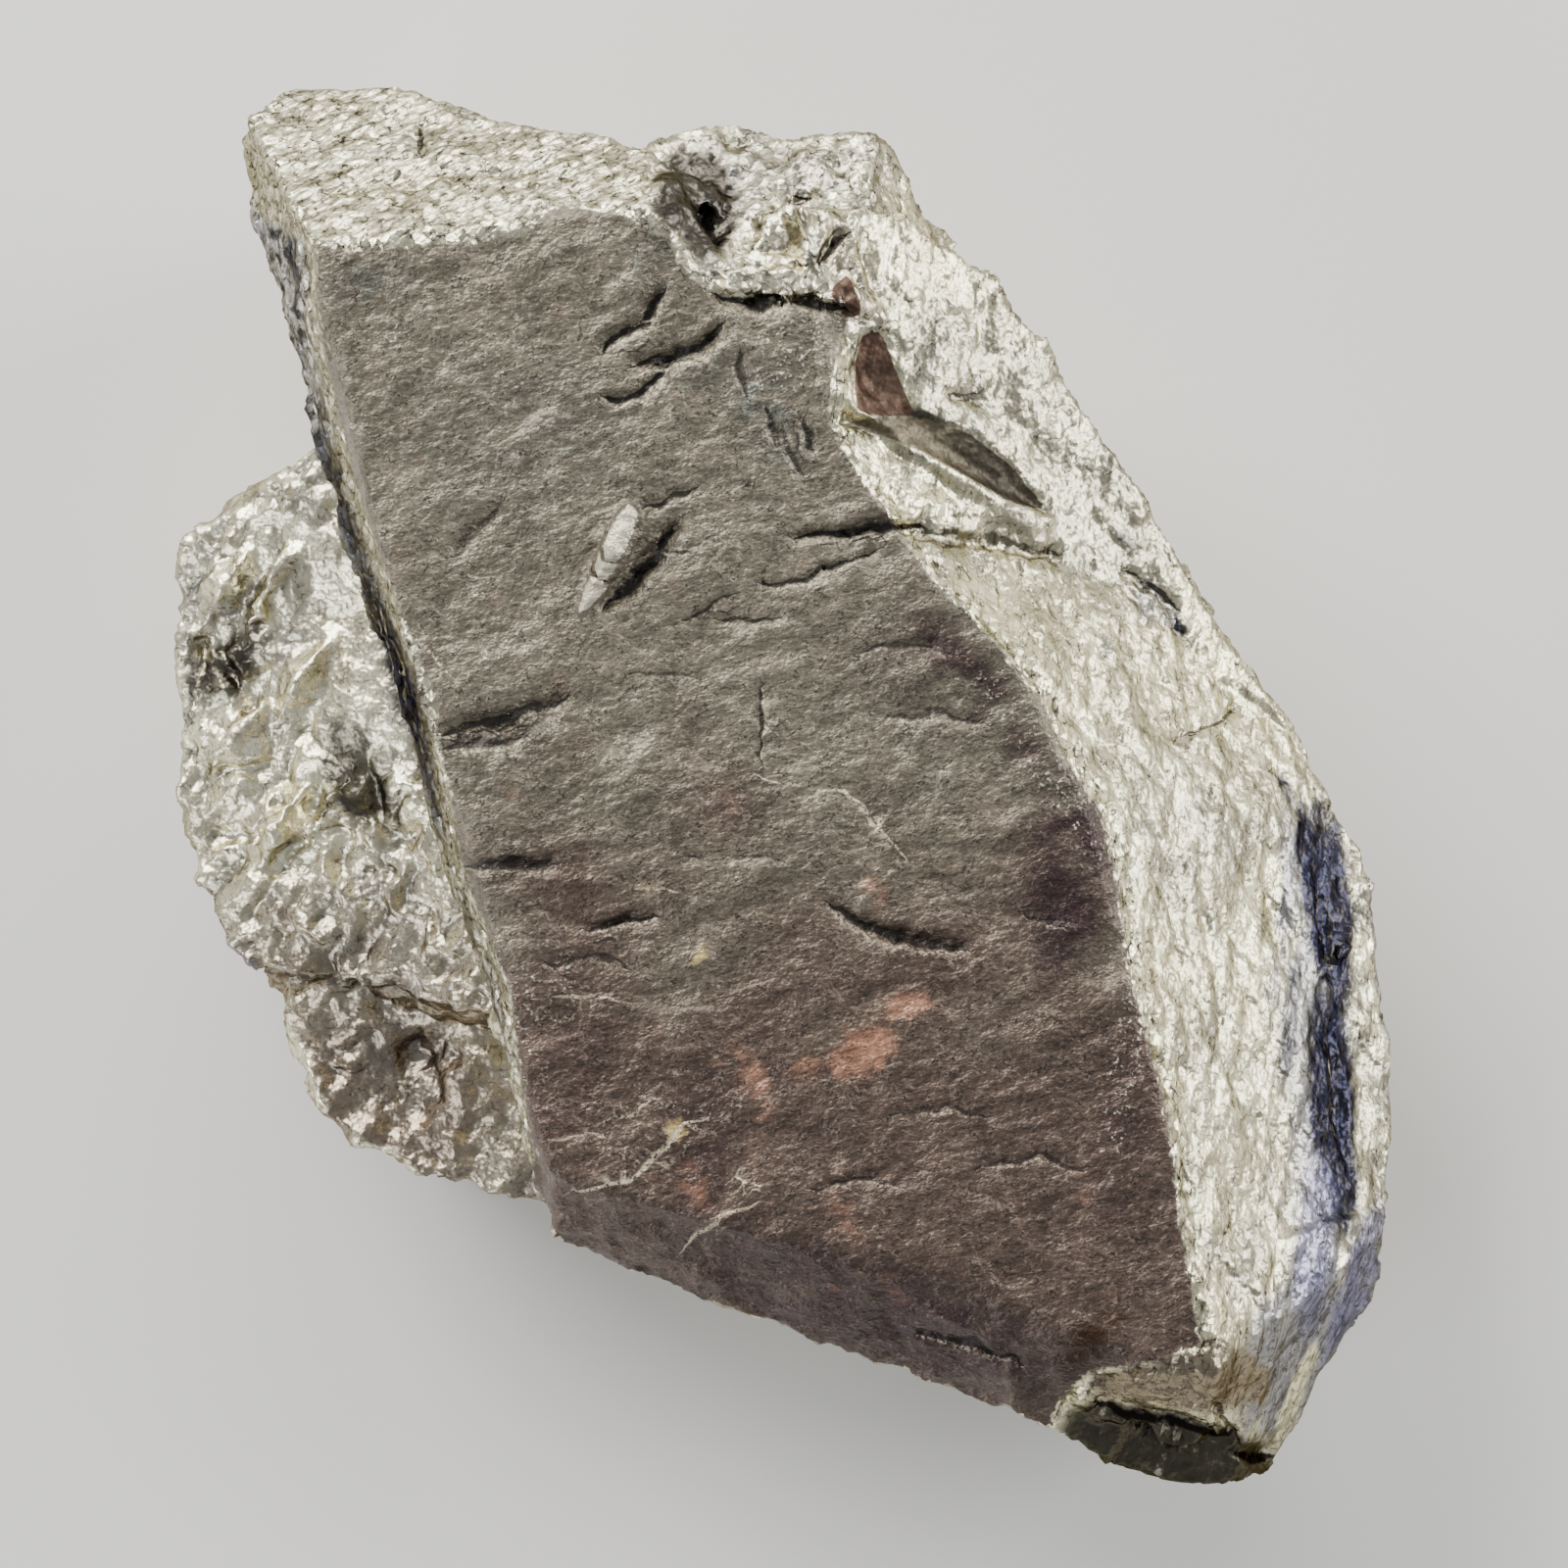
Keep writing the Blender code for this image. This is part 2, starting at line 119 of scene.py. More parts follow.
# Cracks and ledges: points and width in steps, depth in mm, how black the painted shadow in them is
crackSteps = [
    ([(617, 355), (640, 338), (660, 330), (672, 295)], 11, 0.35, 1.0),
    ([(650, 373), (680, 365), (712, 358), (735, 335)], 13, 0.4, 1.0),
    ([(620, 404), (635, 410), (650, 405), (662, 392), (680, 375)], 9, 0.3, 1.0),
    ([(735, 303), (760, 311), (800, 304), (835, 308), (862, 315)], 17, 0.5, 1.0),
    ([(815, 545), (850, 542), (890, 537), (940, 535)], 13, 0.5, 1.0),
    ([(780, 600), (820, 590), (860, 575), (895, 562)], 7, 0.25, 0.9),
    ([(775, 772), (778, 740), (772, 700)], 6, 0.25, 0.8),
    ([(455, 748), (500, 738), (540, 726), (575, 712)], 15, 0.35, 0.9),
    ([(455, 764), (500, 758), (535, 752)], 12, 0.25, 0.8),
    ([(850, 925), (880, 945), (930, 960), (980, 968)], 15, 0.35, 0.9),
    ([(480, 886), (520, 880), (560, 882)], 17, 0.3, 0.8),
    ([(600, 946), (640, 938), (670, 936)], 9, 0.25, 0.9),
    ([(684, 540), (664, 572), (640, 600), (622, 618)], 17, 0.5, 1.0),
    ([(660, 518), (708, 497)], 7, 0.2, 0.8),
    ([(668, 566), (708, 563)], 5, 0.15, 0.8),
    ([(732, 632), (798, 629)], 7, 0.2, 0.8),
    ([(693, 636), (744, 608)], 6, 0.2, 0.7),
    ([(753, 360), (765, 410)], 9, 0.2, 0.6),
    ([(780, 416), (792, 452)], 9, 0.2, 0.7),
    ([(798, 440), (816, 482)], 9, 0.2, 0.6),
    ([(822, 428), (829, 458)], 10, 0.2, 0.8),
    ([(462, 562), (490, 545), (512, 512)], 14, 0.2, 0.5),
    ([(760, 498), (775, 488)], 5, 0.1, 0.5),
    ([(1048, 935), (1085, 940)], 8, 0.15, 0.7),
    ([(560, 745), (566, 700)], 5, 0.1, 0.4),
    ([(700, 880), (760, 872), (800, 880)], 5, 0.12, 0.5),
    ([(880, 665), (930, 655), (975, 668)], 6, 0.15, 0.6),
    ([(905, 735), (960, 726), (1010, 740)], 7, 0.15, 0.6),
    ([(640, 690), (690, 686), (720, 694)], 5, 0.12, 0.6),
    ([(560, 985), (610, 978), (650, 985)], 6, 0.14, 0.6),
    ([(905, 1140), (965, 1128), (1005, 1140)], 6, 0.14, 0.6),
    ([(1000, 1190), (1060, 1180), (1110, 1192)], 7, 0.16, 0.6),
    ([(820, 1215), (880, 1200), (920, 1210)], 6, 0.14, 0.6),
    ([(940, 1360), (1000, 1372), (1040, 1390)], 9, 0.25, 0.8),
    ([(945, 545), (1000, 548), (1075, 566)], 16, 0.45, 0.8),
    ([(1152, 584), (1180, 600), (1200, 622)], 12, 0.3, 0.9),
    ([(1198, 645), (1209, 652)], 10, 0.2, 0.8),
    ([(1200, 756), (1230, 742), (1262, 725)], 7, 0.2, 0.8),
    ([(1000, 412), (965, 402), (990, 404)], 9, 0.2, 0.7),
    ([(340, 196), (420, 185), (500, 178), (560, 170)], 10, 0.2, 0.3),
    ([(428, 150), (436, 128)], 10, 0.3, 0.9),
    ([(814, 200), (820, 203)], 12, 0.5, 1.0),
    ([(840, 262), (860, 240)], 16, 0.5, 1.0),
    ([(775, 150), (800, 158)], 12, 0.2, 0.6),
    ([(268, 992), (330, 1000), (400, 1003)], 10, 0.25, 0.35),
    ([(1122, 1432), (1165, 1445), (1215, 1455), (1250, 1465)], 14, 0.35, 1.0),
    ([(1262, 1482), (1296, 1488)], 21, 0.35, 1.0),
    ([(1240, 1430), (1262, 1470)], 8, 0.3, 0.8),
]

# Pale veins: points and width in steps, how bright
veinSteps = [
    ([
        (775, 795), (800, 797), (825, 808), (850, 805), (875, 818), (900, 850), (930, 880),
    ], 5, 1.0),
    ([
        (590, 1215), (615, 1212), (640, 1205), (665, 1185), (680, 1170), (700, 1145), (720, 1140),
    ], 6, 1.0),
    ([(620, 1145), (645, 1135), (665, 1122)], 5, 0.9),
    ([(695, 1275), (715, 1255), (735, 1240), (770, 1230)], 5, 0.9),
    ([(750, 1205), (775, 1207)], 4, 0.9),
    ([(560, 1165), (600, 1158)], 4, 0.7),
    ([(545, 1020), (600, 1015), (640, 1022)], 4, 0.6),
    ([(640, 905), (700, 910)], 4, 0.6),
    ([(960, 835), (1010, 842)], 3, 0.5),
    ([(655, 330), (690, 318), (730, 330)], 5, 0.5),
    ([(652, 382), (690, 372), (712, 368)], 4, 0.6),
    ([(624, 418), (655, 412)], 4, 0.6),
    ([(520, 495), (540, 498)], 4, 0.6),
    ([(425, 650), (458, 690)], 4, 0.8),
]


# Places on the view in mm, rounded
def onView(spots, digits=1):
    return [
        (round((x - viewMiddle) * viewStep, digits), round((viewMiddle - y) * viewStep, digits))
        for x, y in spots
    ]


def linesOnView(lines, digits=1):
    return [
        (onView(spots, digits), round(width * viewStep, 2), *others)
        for spots, width, *others in lines
    ]


outlines = {name: onView(spots) for name, spots in outlineSteps.items()}
cracks = linesOnView(crackSteps)
veins = linesOnView(veinSteps, digits=2)

# Soft patches of tarnish, of painted shade, of painted highlights and glints, and of a painted blue
# reflection: middle, half length, half width, turn in degrees, strength
tints = {
    "maroon": [
        ((11.6, -3.6), 4.6, 1.9, 82, 1.0), ((6.0, 4.4), 3.6, 3.0, -40, 0.42),
        ((4.9, 10.9), 1.1, 0.8, 0, 1.0), ((8.0, 3.6), 5.4, 1.3, -52, 0.9),
        ((-3.5, -15.0), 3.4, 1.6, 80, 0.55), ((4.0, -21.5), 9.0, 2.2, -18, 0.85),
        ((14.0, -13.0), 6.0, 1.2, 80, 0.5), ((-9.0, -12.5), 3.0, 1.6, 60, 0.4),
    ],
    "salmon": [
        ((1.0, -11.4), 0.8, 0.5, 60, 0.9), ((3.3, -10.9), 1.5, 0.8, 25, 1.9),
        ((4.9, -9.1), 1.3, 0.6, 20, 1.1), ((-0.4, -4.4), 1.0, 0.4, 0, 0.45),
        ((5.0, -21.0), 1.6, 0.7, -30, 0.45), ((-1.3, -12.2), 3.4, 1.0, -60, 0.38),
        ((-4.0, -15.6), 2.4, 0.8, -66, 0.42), ((3.4, -19.0), 3.0, 1.0, -60, 0.42),
        ((4.0, -4.2), 2.2, 0.8, -40, 0.45), ((4.6, -5.2), 1.6, 0.5, -30, 0.4),
    ],
    "olive": [
        ((-14.5, 24.3), 5.0, 1.0, -2, 1.0), ((-7.5, 24.8), 2.8, 1.1, -10, 1.0),
        ((-12.4, 25.8), 2.6, 0.6, 8, 0.6), ((-17.5, 22.6), 2.4, 0.4, 0, 0.5),
        ((8.6, 6.4), 0.6, 0.3, -40, 1.0), ((10.4, 8.4), 2.4, 1.2, -30, 0.4),
        ((-23.5, 0.0), 2.2, 1.6, 60, 0.4), ((2.4, 23.8), 2.0, 2.0, 0, 0.3),
        ((-20.0, 24.0), 2.5, 1.5, 0, 0.3),
    ],
    # painted reflection of a blue object, in streaks down the right edge and on the left strip
    "blueReflection": [
        ((22.3, -5.0), 4.6, 1.0, 94, 1.3), ((21.4, -3.4), 2.8, 0.5, 94, 1.1),
        ((22.4, -13.2), 5.8, 1.0, 95, 1.2), ((20.6, -10.5), 4.4, 0.5, 86, 0.6),
        ((14.0, 10.0), 1.0, 0.35, -30, 0.8), ((16.2, 6.4), 0.6, 0.4, -60, 0.7),
        ((21.2, -1.4), 2.6, 0.4, 118, 0.8), ((-15.4, 4.6), 4.2, 0.9, 107, 1.0),
        ((-17.6, 11.0), 3.6, 0.3, 104, 0.6), ((-12.4, -4.6), 3.6, 0.35, 109, 0.6),
        ((-24.3, 4.0), 0.3, 2.6, 0, 0.5), ((19.8, -16.0), 3.4, 0.25, 84, 0.5),
    ],
    "violet": [
        ((21.6, -19.0), 4.6, 1.0, 86, 0.7), ((23.4, -20.6), 4.2, 0.9, 74, 1.0),
        ((-22.6, -7.0), 2.2, 0.5, -40, 0.6), ((16.8, 13.0), 3.4, 0.3, -50, 0.5),
        ((24.4, -8.0), 3.0, 0.3, 95, 0.7),
    ],
    "steel": [
        ((21.6, -11.0), 11.0, 1.6, 93, 0.8), ((21.0, -22.8), 4.4, 1.9, 70, 1.3),
        ((15.0, 7.4), 1.6, 0.8, -50, 0.6),
    ],
    "satin": [
        ((10.6, 13.4), 9.5, 3.6, -52, 1.0), ((16.0, -2.0), 7.0, 2.6, -70, 0.6),
        ((18.0, -14.0), 8.0, 2.0, -82, 0.5),
    ],
    # painted highlights: cream patches where rims, the foot and the wedge catch the light
    "highlight": [
        ((20.9, -24.8), 2.4, 0.4, 68, 1.0), ((23.0, -18.6), 3.4, 0.3, 84, 0.9),
        ((24.2, -8.6), 3.0, 0.4, 96, 0.8), ((-19.6, 0.5), 6.5, 3.6, 100, 0.52),
        ((-19.6, -12.0), 3.0, 0.5, 110, 0.9), ((-16.6, -15.2), 2.6, 0.5, -28, 0.8),
        ((4.6, 12.7), 4.4, 0.9, -38, 0.8), ((9.0, 6.6), 3.4, 1.0, -50, 0.6),
    ],
    "rust": [
        ((12.2, -23.2), 1.5, 0.8, 60, 1.0), ((13.4, -21.8), 0.8, 0.4, 0, 0.7),
    ],
    "reddish": [
        ((-19.4, -7.4), 2.4, 0.7, 0, 0.7), ((-15.2, -11.0), 1.9, 1.6, 0, 0.9),
        ((-18.0, -10.6), 1.2, 0.5, 60, 0.5), ((-18.0, -5.6), 4.6, 3.0, 30, 0.45),
        ((-16.0, -12.6), 5.0, 3.6, -20, 0.85),
    ],
    "gold": [
        ((-3.4, -6.9), 0.2, 0.5, -30, 0.8), ((-4.4, -14.2), 0.55, 0.22, 40, 0.9),
        ((-5.6, -4.2), 0.3, 0.3, 0, 0.6),
    ],
    # painted glints on the dark face
    "sparkle": [
        ((-11.4, 5.4), 0.9, 0.7, 0, 1.0), ((-11.2, -9.6), 1.0, 3.6, 14, 0.45),
        ((-5.0, -13.4), 4.0, 2.4, 30, 0.15), ((-15.6, 18.6), 0.9, 0.6, 0, 0.8),
        ((-12.4, 8.2), 0.5, 0.5, 0, 0.7), ((-11.4, 17.6), 1.0, 3.4, 0, 0.35),
        ((-9.5, -8.4), 1.4, 1.6, 0, 0.3), ((-12.0, 3.4), 2.0, 0.6, 0, 0.5),
        ((0.4, 17.4), 2.0, 1.6, 0, 0.7), ((10.4, 1.0), 5.4, 0.8, -58, 0.5),
        ((14.2, -10.0), 7.0, 0.7, 80, 0.5),
    ],
    "blueGreen": [
        ((-0.6, 15.0), 2.4, 1.1, -60, 0.9), ((-3.4, 17.0), 1.8, 1.0, 0, 0.5),
        ((-17.0, 20.4), 2.0, 1.0, 0, 0.7), ((-5.0, 21.5), 1.6, 1.4, 0, 0.5),
        ((-11.0, 14.0), 5.0, 4.0, 0, 0.35),
    ],
    # painted shade: dark patches in hollows on the block, the lump and the bottom tip, and along a
    # few ledges
    "shade": [
        ((-3.6, 23.6), 2.0, 2.7, 0, 1.3), ((0.7, 24.0), 0.4, 0.3, 0, 1.0),
        ((1.5, 21.4), 0.7, 0.5, 40, 0.9), ((-1.8, 24.6), 0.9, 0.5, 20, 0.5),
        ((3.6, 20.6), 0.5, 0.3, 0, 0.6), ((-17.4, 0.2), 1.5, 3.4, 24, 0.8),
        ((-22.6, 4.8), 2.4, 1.4, 40, 0.8), ((14.6, -26.2), 3.6, 1.1, -10, 1.0),
        ((15.6, -27.2), 5.0, 1.7, -10, 1.2), ((18.6, -27.2), 1.2, 0.6, 0, 1.0),
        ((5.6, 14.9), 1.4, 0.4, -10, 0.9), ((-11.4, -3.4), 2.2, 0.6, 0, 0.7),
        ((5.0, -6.0), 3.4, 0.8, -10, 0.5), ((-12.0, 1.9), 3.0, 0.8, 10, 0.8),
        ((2.2, 18.6), 1.2, 0.5, 0, 0.6), ((2.0, 22.4), 0.9, 0.7, 40, 0.7),
    ],
}


def activate(obj):
    bpy.ops.object.select_all(action="DESELECT")
    obj.select_set(True)
    bpy.context.view_layer.objects.active = obj


def applyModifiers(obj):
    activate(obj)
    for modifier in list(obj.modifiers):
        bpy.ops.object.modifier_apply(modifier=modifier.name)


# Noise on arrays of points, in mm
def hashed(cell, seed):
    c = cell.astype(np.int64)
    mixed = (c[..., 0] * 73856093) ^ (c[..., 1] * 19349663)
    mixed = mixed ^ (c[..., 2] * 83492791) ^ (seed * 2654435761)
    out = []
    for salt in (0x9E3779B1, 0x85EBCA6B, 0xC2B2AE35):
        h = (mixed * salt) & 0xFFFFFFFF
        h = ((h ^ (h >> 15)) * 0x2C1B3C6D) & 0xFFFFFFFF
        h = ((h ^ (h >> 12)) * 0x297A2D39) & 0xFFFFFFFF
        out.append(((h ^ (h >> 15)) & 0xFFFFFF) / float(0x1000000))
    return np.stack(out, axis=-1)


# Smooth gradient noise, about -1 to 1
def smooth(points, seed):
    base = np.floor(points)
    f = points - base
    u = f * f * f * (f * (f * 6 - 15) + 10)
    total = np.zeros(len(points))
    for dx in (0, 1):
        for dy in (0, 1):
            for dz in (0, 1):
                corner = np.array([dx, dy, dz])
                lean = hashed(base + corner, seed) * 2 - 1
                w = np.prod(np.where(corner == 1, u, 1 - u), axis=1)
                total += w * np.einsum("ij,ij->i", lean, f - corner)
    return total * 1.6


def layered(points, seed, octaves=3, gain=0.5):
    total, size = np.zeros(len(points)), 1.0
    for i in range(octaves):
        total += smooth(points * 2.03 ** i + 17.3 * i, seed + i) * size
        size *= gain
    return total


# Sharp crests at 1, broad hollows near 0
def ridged(points, seed, octaves=3, gain=0.5):
    total, size, most = np.zeros(len(points)), 1.0, 0.0
    for i in range(octaves):
        total += (1 - np.abs(smooth(points * 2.03 ** i + 11.7 * i, seed + i)) * 2) * size
        most += size
        size *= gain
    return total / most


# Flat chips, each with its own tilt
def chips(points, seed):
    base = np.floor(points)
    near = np.full(len(points), 9.0)
    height = np.zeros(len(points))
    for dx in (-1, 0, 1):
        for dy in (-1, 0, 1):
            for dz in (-1, 0, 1):
                cell = base + np.array([dx, dy, dz])
                away = points - cell - hashed(cell, seed)
                gap = (away ** 2).sum(axis=1)
                lean = (hashed(cell, seed + 50) - 0.5) * 2
                chip = np.einsum("ij,ij->i", lean, away) + lean[:, 0] * 0.6
                closer = gap < near
                height = np.where(closer, chip, height)
                near = np.where(closer, gap, near)
    return height


# A frame turned about Z and shrunk, so that noise is drawn out along the turned X
def stretch(points, turn, along, across, deep):
    c, s = math.cos(math.radians(turn)), math.sin(math.radians(turn))
    return np.stack([
        (points[:, 0] * c + points[:, 1] * s) / along,
        (points[:, 1] * c - points[:, 0] * s) / across,
        points[:, 2] / deep,
    ], axis=1)


def ramp(value, low, high):
    t = np.clip((value - low) / (high - low), 0, 1)
    return t * t * (3 - 2 * t)


# Where points would lie if they were seen at the height of the dark face
def seenAt(points):
    return points[:, :2] * ((eyeHeight - faceHeight) / (eyeHeight - points[:, 2]))[:, None]


# Signed distance to an outline, positive inside
def inside(uv, outline):
    corners = np.array(outline)
    best = np.full(len(uv), 1e9)
    within = np.zeros(len(uv), bool)
    for a, b in zip(corners, np.roll(corners, -1, axis=0)):
        edge = b - a
        away = uv - a
        t = np.clip(away @ edge / (edge @ edge), 0, 1)
        gap = away - t[:, None] * edge
        best = np.minimum(best, (gap ** 2).sum(axis=1))
        crosses = (a[1] > uv[:, 1]) != (b[1] > uv[:, 1])
        reach = edge[0] * away[:, 1] / (edge[1] if edge[1] else 1e-9)
        within ^= crosses & (away[:, 0] < reach)
    return np.where(within, 1, -1) * np.sqrt(best)


# Shifts places a little, so that drawn lines wander as real cracks do
def wander(uv):
    flat = np.column_stack((uv, np.zeros(len(uv))))
    big = np.column_stack((layered(flat / 1.1, 91, 2), layered(flat / 1.1, 95, 2))) * 0.22
    small = np.column_stack((smooth(flat / 0.42, 97), smooth(flat / 0.42, 98))) * 0.09
    return uv + big + small


def boxAround(uv, corners, margin):
    low, high = corners.min(axis=0) - margin, corners.max(axis=0) + margin
    return ((uv > low) & (uv < high)).all(axis=1)


# Signed distance to the nearest of some lines, and how strongly that line counts here
def lineField(uv, lines, reach=0.9):
    side = np.full(len(uv), reach)
    best = np.full(len(uv), reach)
    strength = np.zeros(len(uv))
    for points, *numbers in lines:
        corners = np.array(points)
        close = boxAround(uv, corners, reach)
        spots = uv[close]
        lineBest = np.full(len(spots), 1e9)
        lineSide, along = np.zeros(len(spots)), np.zeros(len(spots))
        lengths = np.linalg.norm(np.diff(corners, axis=0), axis=1)
        total, gone = lengths.sum(), 0.0
        for a, b, length in zip(corners[:-1], corners[1:], lengths):
            edge = (b - a) / length
            away = spots - a
            t = np.clip(away @ edge, 0, length)
            gap = np.linalg.norm(away - t[:, None] * edge, axis=1)
            across = away[:, 1] * edge[0] - away[:, 0] * edge[1]
            closer = gap < lineBest
            lineSide = np.where(closer, np.where(across < 0, -gap, gap), lineSide)
            along = np.where(closer, (gone + t) / total, along)
            lineBest = np.minimum(gap, lineBest)
            gone += length
        taper = numbers[0] / 2 * (0.25 + 0.75 * np.sin(np.pi * np.clip(along, 0.02, 0.98)) ** 0.5)
        index = np.nonzero(close)[0]
        closer = lineBest < best[index]
        index = index[closer]
        best[index] = lineBest[closer]
        side[index] = (lineSide / taper)[closer]
        strength[index] = numbers[-1]
    return side, strength * ramp(-best, -reach * 0.8, -reach * 0.4)


def crackDepth(uv):
    uv = wander(uv)
    depth = np.zeros(len(uv))
    for points, width, deep, _ in cracks:
        corners = np.array(points)
        close = boxAround(uv, corners, width)
        gap = np.full(close.sum(), 1e9)
        for a, b in zip(corners[:-1], corners[1:]):
            edge = b - a
            away = uv[close] - a
            t = np.clip(away @ edge / (edge @ edge), 0, 1)
            gap = np.minimum(gap, np.linalg.norm(away - t[:, None] * edge, axis=1))
        depth[close] = np.maximum(depth[close], deep * (1 - ramp(gap, width * 0.15, width * 0.75)))
    return depth


def tintField(uv, spots):
    total = np.zeros(len(uv))
    for (u, v), long, wide, turn, strength in spots:
        c, s = math.cos(math.radians(turn)), math.sin(math.radians(turn))
        du, dv = uv[:, 0] - u, uv[:, 1] - v
        reach = np.sqrt(((du * c + dv * s) / long) ** 2 + ((dv * c - du * s) / wide) ** 2)
        total = np.maximum(total, strength * (1 - ramp(reach, 0.45, 1.35)))
    return total


# What tells the surfaces apart
zoneValues = {
    "leftWall": (-17.3, 7.7, 16.7),  # a point of the main crystal's left wall in mm, and its turn
    "lumpTop": (16.5, 18.5),  # height at which the lump gives way to the main crystal, mm
    "flankTop": (13.0, 16.0),  # height at which the flanks give way to the upper faces, mm
    "facing": (-0.05, 0.10),  # how squarely a surface has to face upwards
    "edgeBlur": {"dark": 0.2, "topLeft": 0.3, "block": 0.4, "strip": 0.3},  # mm
}


def zonesOf(points, normals):
    v = zoneValues
    uv = seenAt(points)
    toEye = np.array((0, 0, eyeHeight)) - points
    facing = np.einsum("ij,ij->i", normals, toEye / np.linalg.norm(toEye, axis=1)[:, None])
    x, y, turn = v["leftWall"]
    wallX = x - (points[:, 1] - y) * math.tan(math.radians(turn))
    lump = ramp(wallX - points[:, 0], -0.3, 0.6) * (1 - ramp(points[:, 2], *v["lumpTop"]))
    visible = ramp(facing, -0.02, 0.10)
    seen = ramp(facing, *v["facing"]) * ramp(points[:, 2], *v["flankTop"]) * (1 - lump)
    side = {name: inside(uv, outline) for name, outline in outlines.items()}
    sides = {
        name: np.where(seen > 0.5, value, np.minimum(value, -1.0))
        for name, value in side.items()
    }
    within = {name: ramp(side[name], -blur, blur) * seen for name, blur in v["edgeBlur"].items()}
    dark = within["dark"]
    topLeft = within["topLeft"] * (1 - dark)
    block = within["block"] * (1 - dark)
    strip = within["strip"] * (1 - dark) * (1 - topLeft)
    flank = (1 - seen) * (1 - lump)
    right = np.clip(1 - dark - topLeft - block - strip - flank - lump, 0, 1)
    zones = {
        "darkZone": dark, "topLeft": topLeft, "block": block, "strip": strip,
        "flank": flank, "lump": lump, "right": right,
    }
    return uv, visible, sides, zones


bodyValues = {
    "voxel": 0.2,  # mesh size while the surface is worked, mm
    "edgeAngle": 24,  # two faces that meet at more than this make a crystal edge, degrees
    "edgeStep": 0.2,  # distance between the points that stand for an edge, mm
    "edgeKeep": (0.35, 1.1),  # facets are smoothed away this far from a crystal edge, mm
    "softened": [  # spots where edges are smoothed too
        ((-3.2, 23.0), 1.8, 1.8, 0, 1.0), ((6.0, 12.4), 5.2, 1.5, -38, 1.0),
    ],
    "smoothTurns": 18,
    "triangles": 197000,
    "baseFade": (0.15, 1.2),  # relief starts this far above the table, mm
    "groundGap": 0.05,  # relief stays this far above the table, mm
    "flakeRise": (0.45, 0.25),  # height of the flake and how much it leans, mm
    "sparkling": {  # how strongly the chips of each surface tilt
        "right": 0.20, "topLeft": 0.55, "block": 0.6, "strip": 0.8, "flank": 0.5, "lump": 0.10,
    },
}


def cadCopy():
    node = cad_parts["pyrite_cluster"]
    body = node.copy()
    body.data = node.data.copy()
    body.name = "pyriteBody"
    bpy.context.scene.collection.objects.link(body)
    activate(body)
    bpy.ops.object.mode_set(mode="EDIT")
    bpy.ops.mesh.select_all(action="SELECT")
    bpy.ops.mesh.remove_doubles(threshold=1e-6)
    bpy.ops.object.mode_set(mode="OBJECT")
    return body


# Points along every edge where two crystal faces meet at a clear angle
def crystalEdgePoints(mesh):
    bm = bmesh.new()
    bm.from_mesh(mesh)
    spots = []
    sharp = math.radians(bodyValues["edgeAngle"])
    for edge in bm.edges:
        if len(edge.link_faces) == 2 and edge.calc_face_angle(0) > sharp:
            a, b = (v.co for v in edge.verts)
            steps = max(1, int((b - a).length / (bodyValues["edgeStep"] * mm)))
            spots += [a.lerp(b, i / steps) for i in range(steps + 1)]
    bm.free()
    return spots


def readPoints(mesh):
    co = np.empty(len(mesh.vertices) * 3, np.float32)
    no = np.empty(len(mesh.vertices) * 3, np.float32)
    mesh.vertices.foreach_get("co", co)
    mesh.vertices.foreach_get("normal", no)
    return co.reshape(-1, 3).astype(float) / mm - centreShift, no.reshape(-1, 3).astype(float)


def writePoints(mesh, points):
    low, high = (np.array(corner) for corner in cadBox)
    co = np.clip((points + centreShift) * mm, low, high)
    mesh.vertices.foreach_set("co", co.astype(np.float32).ravel())
    mesh.update()


def smoothFacets(body, spots):
    uv = seenAt(np.array(spots) / mm - centreShift)
    spots = [spot for spot, soft in zip(spots, tintField(uv, bodyValues["softened"])) if soft < 0.5]
    tree = kdtree.KDTree(len(spots))
    for i, spot in enumerate(spots):
        tree.insert(spot, i)
    tree.balance()
    low, high = (v * mm for v in bodyValues["edgeKeep"])
    group = body.vertex_groups.new(name="faceInside")
    for v in body.data.vertices:
        gap = tree.find(v.co)[2]
        t = min(max((gap - low) / (high - low), 0), 1)
        if t > 0 and v.co.z > 0.2 * mm:
            group.add([v.index], t, "REPLACE")
    modifier = body.modifiers.new("smoothFacets", "SMOOTH")
    modifier.factor = 0.5
    modifier.iterations = bodyValues["smoothTurns"]
    modifier.vertex_group = "faceInside"
    applyModifiers(body)
    body.vertex_groups.clear()


# Heights of the relief, mm
reliefValues = {
    "dark": {"swell": 0.16, "lumps": 0.17, "crinkle": 0.06, "slanting": 0.09},
    "right": {"lines": 0.095, "broad": 0.16, "chips": 0.05, "scratches": 0.08,
              "bladeDrop": 0.35, "wedgeRise": 0.22},
    "lump": {"ridges": 0.42, "pebbles": 0.30, "grain": 0.03, "rim": 0.30, "pocket": 0.30},
    "block": {"rough": 0.30, "chips": 0.13},
    "topLeft": {"grain": 0.11, "broad": 0.16, "chips": 0.05},
    "strip": {"chips": 0.12, "broad": 0.12},
    "flank": {"treads": 6, "terraces": 0.9, "terraceShare": 0.8, "chips": 0.20, "grain": 0.07},
}
# The calm upper part of the lump, as in tints
calmSpot = ((-17.8, 5.6), 2.8, 6.0, 15, 1.0)


